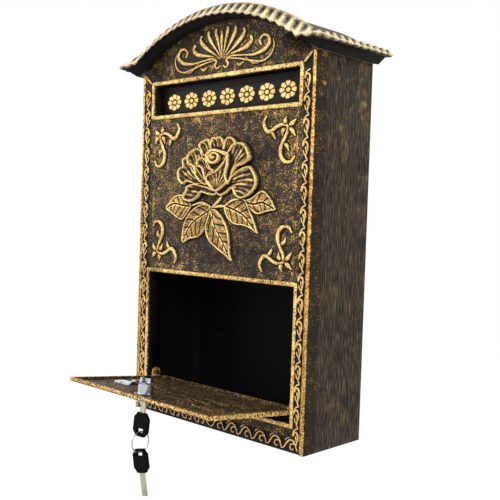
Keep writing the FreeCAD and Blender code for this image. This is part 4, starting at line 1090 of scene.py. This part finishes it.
@dataclass
class FrontCasting(Part):
    """The front's plain body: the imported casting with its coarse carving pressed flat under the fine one."""

    slack: float = 0.02
    zones: tuple[Row, ...] = (
        (0.0, 104.6, 160.5, 323.6),
        (0.0, 122.0, 366.7, 421.0),
        (111.2, 118.9, 0.0, 376.0),
        (0.0, 118.9, 0.5, 14.6),
    )

    def carved(self, across: float, depth: float, up: float) -> bool:
        """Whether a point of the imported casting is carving."""
        return depth < FACE - self.slack and any(
            a <= abs(across) <= b and c <= up <= d for a, b, c, d in self.zones)

    def build(self, paints: Mapping[str, Material]) -> list[Object]:
        """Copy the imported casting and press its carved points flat."""
        obj = pressed_copy("front_body", "front_casting", self.carved, FACE)
        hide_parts("front_casting")
        return [carried(obj, paints["antique_front"], "box")]


@dataclass
class Roof(Part):
    """Vault with a fluted visor in front and fluted eaves along the sides."""

    axis: float = 215.0
    vault: float = 213.0
    vault_wall: float = 3.5
    vault_steps: int = 73
    cove: float = 203.0
    crest: float = 217.0
    back: float = -86.3
    reach: float = 22.2
    pitch: float = 10.5
    ribs: int = 11
    rise: float = 1.5
    cut: float = 1.3
    wall: float = 125.0
    seat: float = 116.0
    eave: float = 375.0
    side_reach: float = 23.6
    side_rise: float = 11.3
    side_ribs: int = 8
    samples: int = 12
    finer: tuple[int, ...] = (1, 1, 3, 3, 2, 7, 2, 1, 1, 1, 1)

    def arch(self, radius: float, across: float) -> float:
        """Height of the arch of a radius at a distance from the middle."""
        return self.axis + math.sqrt(radius ** 2 - across ** 2)

    def visor(self, across: float, flute: float) -> np.ndarray:
        """Section of the visor.

        Args:
            across: Place along the front.
            flute: 1 on a rib and 0 in a valley.

        Returns:
            Rows of x, y, z round the section.
        """
        rib, reach, cove = self.rise * flute, self.reach, self.cove
        lip = cove + 2.4 - rib
        rows = [
            (0, cove), (2, cove), (5.7, cove), (12.5, cove + 6), (reach - 1.6, lip), (reach + rib - 1.5, lip + 1.2),
            (reach - 9.5, self.crest - 2.4 + rib * 0.7), (reach - 12.5, self.crest), (6, self.crest),
            (3.5, self.vault + 0.2), (0, self.vault),
        ]
        return np.array([(across, self.back - out, self.arch(radius, across)) for out, radius in rows])

    def side(self, along: float, flute: float, sign: int) -> np.ndarray:
        """Section of a side eave, in the visor's rows.

        Args:
            along: Place along the side.
            flute: 1 on a rib and 0 in a valley.
            sign: 1, or -1 on the left.

        Returns:
            The rows.
        """
        rib, reach, rise, root = self.rise * flute, self.side_reach, self.side_rise, self.seat - self.wall
        foot = self.arch(self.vault, self.seat) - self.eave
        rows = [
            (root, 0), (0.3, 0), (6.6, -1.2), (reach * 0.6, rise * 0.42), (reach - 2.2, rise * 0.5 - rib),
            (reach + rib - 1.5, rise * 0.62 - rib), (reach - 5, rise - 0.6 + rib * 0.7), (reach * 0.5, rise + 0.8),
            (reach * 0.3, rise + 1.9), (-2, foot - 2.9), (root, foot),
        ]
        return np.array([(sign * (self.wall + out), along, self.eave + up) for out, up in rows])

    def hip(self, sign: int) -> np.ndarray:
        """Section along the hip of a front corner, in the same rows.

        Args:
            sign: 1, or -1 on the left.

        Returns:
            The rows.
        """
        reach, rise, root = self.reach, self.side_rise, self.seat - self.wall
        foot = self.arch(self.vault, self.seat) - self.eave
        rows = [
            (root, 0, 0), (0.3, 2, 0), (6.6, 5.7, -0.6), (12, 12.5, rise * 0.4), (16.6, reach - 1.6, rise * 0.5),
            (18.6, reach, rise * 0.76), (14.5, reach - 6, rise + 0.6), (9.5, reach - 9, rise + 1.8),
            (4, 9, rise + 3.8), (-3, 5, foot - 1.4), (root, 0, foot),
        ]
        return np.array([(sign * (self.wall + out), self.back - ahead, self.eave + up) for out, ahead, up in rows])

    def stations(self) -> list[tuple[np.ndarray, float, float]]:
        """Sections from the wall on the left round to the wall on the right.

        Returns:
            Each section with its flute and its share of side.
        """
        def wave(turns: float) -> float:
            """Flute after a number of ribs."""
            return 0.5 + 0.5 * math.cos(2 * math.pi * turns)

        def flank(sign: int) -> list[tuple[np.ndarray, float, float]]:
            """The stations from one end of the visor to the wall.

            Args:
                sign: 1, or -1 on the left.

            Returns:
                The stations.
            """
            hip, turns, length = self.hip(sign), 2 * self.samples, self.side_ribs * self.samples
            rows = []
            for start, end, base in ((self.visor(sign * self.ribs * self.pitch, 1.0), hip, 0.0),
                                     (hip, self.side(self.back, 1.0, sign), 0.5)):
                for share in (i / turns for i in range(1, turns + 1)):
                    section = start + (end - start) * share
                    section[4:6, 2] += self.rise * (1 - wave(2 * share))
                    rows.append((section, wave(2 * share), base + share / 2))
            for i in range(1, length + 1):
                flute = wave(i / self.samples)
                rows.append((self.side(self.back * (1 - i / length), flute, sign), flute, 1.0))
            return rows

        half = self.ribs * self.samples
        turns = [i / self.samples for i in range(-half, half + 1)]
        front = [(self.visor(turn * self.pitch, wave(turn)), wave(turn), 0.0) for turn in turns]
        return list(reversed(flank(-1))) + front + flank(1)

    def refine(self, section: np.ndarray, flute: float, share: float) -> tuple[np.ndarray, np.ndarray]:
        """Add points to a section, cut the valleys between the ribs and say where it is gilt and where painted shade
        darkens it.

        Args:
            section: Its rows.
            flute: 1 on a rib and 0 in a valley.
            share: 0 in front and 1 along a side.

        Returns:
            The finer rows and the gold at each, with painted shade on the soffit under the lip and darker valleys.
        """
        points, gilt = [], []
        # The first four tones are painted shade on the soffit under the visor and eaves, lighter along the sides.
        tones = (0.5 * share - 0.7, 0.9 * share - 0.5, 0.4 * share - 1.0, -0.9, 0.1, 1.0, 0.3, 0.85, 0.1, 0.0, 0.0)
        for index, here in enumerate(section):
            following = (index + 1) % len(section)
            for t in np.arange(self.finer[index]) / self.finer[index]:
                spot = here + (section[following] - here) * t
                tone = tones[index] + (tones[following] - tones[index]) * t
                lips = {4: (0.35 * t + 0.2, 0.2), 5: (1.0 - 0.35 * t, 1.3 * min(1.0, 3 * t)),
                        6: (0.45 * (1 - t), 0.9)}
                if index in lips:
                    depth, shade = lips[index]
                    inward = section.mean(0) - spot
                    spot = spot + inward / max(np.linalg.norm(inward), TINY) * self.cut * depth * (1 - flute)
                    tone += (flute - 0.6) * shade
                points.append(spot)
                gilt.append(tone)
        return np.array(points), np.array(gilt)

    def build(self, paints: Mapping[str, Material]) -> list[Object]:
        """Loft the eaves round three sides and lay the vault between them."""
        rings, tones = zip(*(self.refine(*station) for station in self.stations()))
        eaves = np.vstack(rings)
        inner = self.vault - self.vault_wall
        across = np.linspace(-self.seat - 1, self.seat + 1, self.vault_steps)
        sheet = [(x, y, self.arch(radius, x)) for x in across for radius, y in (
            (self.vault, self.back), (self.vault, 0.0), (inner, 0.0), (inner, self.back))]
        faces = loft(len(rings), len(rings[0])) + loft(len(across), 4, len(eaves))
        gilt = np.concatenate([*tones, np.full(len(sheet), -0.1)])
        obj = put("roof_body", closed_mesh("roof_body", np.vstack([eaves, sheet]) - (0, 0, MOUNT), faces, gilt))
        sharpen(obj, 48)
        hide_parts("roof_casting")
        return [carried(obj, paints["antique_roof"], "box")]


@dataclass
class Flap(Part):
    """Letter flap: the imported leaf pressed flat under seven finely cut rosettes."""

    face: float = -76.1
    slack: float = 0.02
    middle: float = 343.2
    count: int = 7
    pitch: float = 27.5
    half_width: float = 11.4
    half_height: float = 9.3
    rise: float = 1.5
    petals: int = 8
    rings: int = 18
    turns: int = 160
    heart: float = 0.36

    def rosette(self) -> Mesh:
        """One rosette: scalloped petals round a boss.

        Returns:
            Its mesh, closed at the back.
        """
        verts, gilt = [], []
        for ring in np.linspace(0, 1, self.rings + 1)[1:]:
            outer, last = ring > self.heart, ring == 1.0
            for turn in np.linspace(0, 2 * math.pi, self.turns, endpoint=False):
                lobe = abs(math.cos(self.petals / 2 * turn))
                reach = ring * (0.80 + 0.20 * lobe ** 0.6) if outer else ring * 0.86
                split = bell(lobe * ring, 0.0, 0.16) if outer else 0.0
                moat = bell(ring, 0.34, 0.05)
                boss = max(0.0, 1 - (ring / 0.27) ** 2) ** 0.5
                crown = 0.62 + 0.38 * bell(ring, 0.86, 0.09) + 0.2 * bell(lobe, 1.0, 0.04)
                height = 0.0 if last else self.rise * max(0.04, max(boss, crown) - 0.7 * split - 0.6 * moat)
                verts.append((self.half_width * reach * math.cos(turn), -height - LIFT,
                              self.half_height * reach * math.sin(turn)))
                gilt.append(1.15 - 2.1 * max(split, moat) - (1.4 if last else 0.0))
        verts += [(x, LIFT, z) for x, _, z in verts[-self.turns:]] + [(0, -self.rise - LIFT, 0)]
        gilt += [-1.0] * self.turns + [1.1]
        return closed_mesh("rosette", verts, loft(self.rings + 1, self.turns, 0, (len(verts) - 1, None)), gilt)

    def build(self, paints: Mapping[str, Material]) -> list[Object]:
        """Press the leaf flat and lay the rosettes on it."""
        leaf = pressed_copy("flap_leaf", "letter_flap", lambda x, y, z: y < self.face - self.slack, self.face)
        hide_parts("letter_flap")
        bright = paints["antique_rosette"]
        row = repeat("flap_rosettes", self.rosette(), bright, self.count,
                     (-(self.count - 1) / 2 * self.pitch, self.face, self.middle), (self.pitch, 0, 0))
        return [carried(leaf, paints["antique_flap"], "flap"), carried(row, bright, "flap")]


@dataclass
class WallPlugs(Part):
    """Rubber plugs that keep the lower wall holes shut until the box is hung."""

    across: float = 75.0
    height: float = 90.0
    turns: int = 48
    profile: tuple[Row, ...] = ((1.2, 3.35), (2.6, 3.2), (3.8, 2.8), (4.7, 2.2), (4.95, 1.56), (2.92, 1.54),
                                (2.92, 0.6), (2.5, 0.1))

    def plug(self, side: Side, rubber: Material) -> Object:
        """Turn one plug: a domed head inside the box and a stem in the hole.

        Args:
            side: Side of the box.
            rubber: Its material.

        Returns:
            The piece.
        """
        angles = np.linspace(0, 2 * math.pi, self.turns, endpoint=False)
        rows = [(radius * math.cos(turn), depth, radius * math.sin(turn))
                for radius, depth in self.profile for turn in angles]
        rows += [(0, self.profile[end][1], 0) for end in (0, -1)]
        verts = [(side.value * self.across + x, -depth, self.height + z - MOUNT) for x, depth, z in rows]
        faces = loft(len(self.profile), self.turns, 0, (len(rows) - 2, len(rows) - 1))
        name = f"wall_plug_{side.name.lower()}"
        obj = put(name, closed_mesh(name, verts, faces))
        sharpen(obj, 35)
        return carried(obj, rubber, "box")

    def build(self, paints: Mapping[str, Material]) -> list[Object]:
        """Turn both plugs."""
        return [self.plug(side, paints["bow_plastic"]) for side in Side]


@dataclass
class Door(Part):
    """Drop-down door: gold on the rim of its tray and faint leaf strokes on its floor."""

    hinge_y: float = -76.7
    hinge_z: float = 42.4
    angle: float = 83.7
    rim_top: Ease = (-4.9, -4.3)
    rim_far: Ease = (112.6, 113.0)
    rim_side: Ease = (103.3, 103.6)
    rim_gold: float = 0.42
    floor: float = -7.3
    step: float = 0.6
    rise: float = 0.5
    strokes: tuple[Stroke, ...] = (
        ((-6, 76, 0.5), (8, 70, 1.6), (26, 66, 1.8), (44, 68, 0.5)),
        ((2, 60, 0.5), (20, 56, 1.7), (40, 58, 2.0), (58, 66, 0.6)),
        ((10, 44, 0.5), (30, 40, 1.5), (50, 44, 1.8), (70, 40, 0.5)),
        ((34, 66, 0.5), (46, 78, 1.5), (64, 82, 0.5)),
        ((-70, 52, 0.5), (-50, 46, 1.6), (-28, 50, 1.7), (-12, 46, 0.5)),
        ((-60, 70, 0.5), (-44, 64, 1.4), (-26, 68, 0.5)),
    )

    def marks(self, shader: Shader, across: Signal, up: Signal) -> Signal:
        """Gold on the tray's rim, measured in the open door's own frame.

        Args:
            shader: Material under construction.
            across: Distance from the middle.
            up: Height over the foot, not used here.

        Returns:
            What is added to the paint's level.
        """
        turned = shader.out("ShaderNodeMapping", "Vector", {
            "Vector": shader.place, "Location": (0.0, self.hinge_y * MM, (self.hinge_z - MOUNT) * MM),
            "Rotation": (math.radians(self.angle), 0, 0)}, vector_type="TEXTURE")
        _, depth, rise = shader.split(turned)
        rim = (depth * METRE).step(*self.rim_top).most((rise * METRE).step(*self.rim_far))
        return rim.most(across.step(*self.rim_side)) * self.rim_gold

    def on_tray(self, across: np.ndarray, rise: np.ndarray, height: np.ndarray) -> np.ndarray:
        """Place carving on the tray's floor.

        Args:
            across: Distance from the middle.
            rise: Distance from the hinge.
            height: Height over the floor.

        Returns:
            Rows of x, y, z.
        """
        turn = math.radians(self.angle)
        depth = self.floor + height
        return np.column_stack([across, self.hinge_y + depth * math.cos(turn) - rise * math.sin(turn),
                                self.hinge_z - MOUNT + depth * math.sin(turn) + rise * math.cos(turn)])

    def build(self, paints: Mapping[str, Material]) -> list[Object]:
        """Lay the strokes on the tray."""
        carving = Carving(-80, 80, 30, 86, self.step)
        for stroke in self.strokes:
            carving.stroke(stroke, self.rise)
        gilt = np.clip(carving.height * 1.6, 0, 0.7) - 0.05
        return [carried(carving.piece("tray_sprays", self.on_tray, gilt), paints["antique_door"], "door")]


@dataclass
class Studio:
    """Floor, light and camera."""

    camera_place: Row = (0.584, -0.648, 0.0314)
    azimuth: float = 43.67
    elevation: float = 2.46
    roll: float = 1.81
    lens: float = 56.82
    floor_height: float = -0.34
    floor_half: float = 6.0
    floor_glow: float = 1.06
    floor_glow_share: float = 0.9
    surround: tuple[float, float] = (0.55, 1.0)
    target: Row = (0, 0, 0.02)
    lamps: tuple[tuple[str, Row, float, float], ...] = (
        ("key", (0.9, -1.7, 1.3), 1.2, 34.0),
        ("fill", (-1.6, -1.4, 0.5), 1.4, 14.0),
        ("side", (1.9, 0.3, 0.7), 1.0, 11.0),
    )

    def camera(self) -> None:
        """Set the camera at the photograph's angle."""
        data = bpy.data.cameras.new("camera")
        data.lens, data.sensor_width, data.clip_start = self.lens, 36.0, 0.01
        obj = put("camera", data)
        az, el, roll = (math.radians(a) for a in (self.azimuth, self.elevation, self.roll))
        back = Vector((math.sin(az) * math.cos(el), -math.cos(az) * math.cos(el), math.sin(el)))
        right = Vector((0, 0, 1)).cross(back).normalized()
        level = Matrix((right, back.cross(right), back)).transposed()
        obj.matrix_world = (Matrix.Translation(self.camera_place) @ level.to_4x4() @ Matrix.Rotation(roll, 4, "Z"))
        bpy.context.scene.camera = obj

    def floor(self) -> None:
        """Lay a plain pale floor."""
        mesh = bpy.data.meshes.new("floor")
        half = self.floor_half
        corners = [(-half, -half), (half, -half), (half, half), (-half, half)]
        mesh.from_pydata([(x, y, self.floor_height) for x, y in corners], [], [(0, 1, 2, 3)])
        material = bpy.data.materials.new("pale_floor")
        material.use_nodes = True
        material.node_tree.nodes.clear()
        nodes = Nodes(material.node_tree)
        nodes.add("ShaderNodeOutputMaterial", {"Surface": nodes.out("ShaderNodeMixShader", 0, {
            0: nodes.out("ShaderNodeLightPath", "Is Camera Ray") * self.floor_glow_share,
            1: nodes.out("ShaderNodeBsdfDiffuse", 0, {"Color": (0.9, 0.9, 0.9)}),
            2: nodes.out("ShaderNodeEmission", 0, {"Strength": self.floor_glow})})})
        obj = put("floor", mesh)
        dress(obj, material)

    def lights(self) -> None:
        """Hang soft lights and a plain pale surround."""
        for name, place, size, power in self.lamps:
            data = bpy.data.lights.new(name, "AREA")
            data.size, data.energy = size, power
            lamp = put(name, data)
            lamp.location = place
            lamp.rotation_euler = (Vector(self.target) - Vector(place)).to_track_quat("-Z", "Y").to_euler()
        world = bpy.data.worlds.new("surround")
        bpy.context.scene.world = world
        world.use_nodes = True
        nodes = Nodes(world.node_tree)
        path = nodes.add("ShaderNodeLightPath").outputs
        seen = Signal(nodes, path["Is Camera Ray"]).most(Signal(nodes, path["Is Glossy Ray"]))
        low, high = self.surround
        ground = world.node_tree.nodes["Background"].inputs
        nodes.feed(ground["Color"], (1, 1, 1))
        nodes.feed(ground["Strength"],
                   nodes.out("ShaderNodeMapRange", "Result", {"Value": seen, "To Min": low, "To Max": high}))

    def build(self) -> None:
        """Build the whole studio."""
        bpy.context.scene.view_settings.view_transform = "Standard"
        self.camera()
        self.floor()
        self.lights()


# Each finish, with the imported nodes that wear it
FINISHES = (
    (AntiquePaint("antique_front", amount=0.22, flecks=0.82, clouds=0.7, drift=0.8, proud=86.3,
                  marks=FrontMap().marks, inside=(122.5, 85.2), patches=0.42, bead=(121.8, 123.6)),
     ("front_casting",)),
    (AntiquePaint("antique_carving", amount=0.34), ()),
    (AntiquePaint("antique_bloom", amount=0.48, gold=(0.40, 0.235, 0.068)), ()),
    (AntiquePaint("antique_scroll", amount=0.38, flecks=0.34), ()),
    (AntiquePaint("antique_roof", amount=0.40, flecks=0.42, shine=0.08, ground=(0.005, 0.0045, 0.004),
                  brown=(0.085, 0.070, 0.056), gold=(0.40, 0.30, 0.16), bright=(0.86, 0.75, 0.50)),
     ("roof_casting",)),
    (AntiquePaint("antique_door", amount=0.29, flecks=0.85, grain=480, marks=Door().marks), ("door_casting",)),
    (AntiquePaint("antique_flap", amount=0.02, flecks=0.2), ("letter_flap",)),
    (AntiquePaint("antique_rosette", amount=0.34, flecks=0.34), ()),
    (AntiquePaint("brushed_sheet", amount=0.25, grain=720, stretch=(1.0, 1.0, 0.09), flecks=0.8, clouds=0.25,
                  brown=(0.056, 0.039, 0.024), gold=(0.15, 0.095, 0.043), bright=(0.42, 0.27, 0.11),
                  inside=(124.4, 200.0), patches=0.62), ("body_shell",)),
    (AntiquePaint("dark_back", ground=(0.003, 0.003, 0.003), amount=-0.3, flecks=0.3, shine=0.05, rear=0.42),
     ("back_plate",)),
    (PlainFinish("zinc_steel", colour=(0.42, 0.42, 0.43), worn=(0.16, 0.16, 0.16)),
     ("roof_screws", "front_screws", "back_rivets", "flap_pin", "flap_pin_clips", "door_hinge_pins", "key_ring")),
    # The chrome's dark patches are painted reflections of a dark surround, with some tarnish.
    (PlainFinish("lock_chrome", colour=(0.66, 0.69, 0.73), worn=(0.05, 0.055, 0.06), roughness=0.06, patch=90.0,
                 spread=(0.54, 0.64)),
     ("lock_housing", "lock_ring_nut", "lock_star_washer", "lock_plug", "lock_cam", "cam_nut", "cam_washer")),
    (PlainFinish("key_nickel", colour=(0.46, 0.44, 0.34), worn=(0.16, 0.14, 0.09), roughness=0.22),
     ("key_blade", "spare_key_blade")),
    (PlainFinish("bow_plastic", colour=(0.0015, 0.0015, 0.0018), worn=(0.007, 0.007, 0.0075), roughness=0.38,
                 metallic=0.0, specular=0.03, patch=300.0, patch_detail=5, spread=(0.5, 0.75), grain=2600.0,
                 stretch=(1.0, 1.0, 1.0), relief=0.35), ("key_bow", "spare_key_bow")),
)


def main() -> None:
    """Build the studio and every piece in order."""
    logging.basicConfig(level=logging.INFO, format="%(name)s: %(message)s")
    Studio().build()
    LOG.info("studio")
    paints = {finish.name: finish.build() for finish, _ in FINISHES}
    for finish, nodes in FINISHES:
        for node in nodes:
            dress(packed(node), paints[finish.name])
    LOG.info("%d finishes", len(paints))
    for part in (FrontCasting(), RosePanel(), Crest(), Borders(), Roof(), Flap(), Door(), WallPlugs()):
        for piece in part.build(paints):
            LOG.info("%s: %d faces", piece.name, len(piece.data.polygons))


if __name__ == "__main__":
    main()
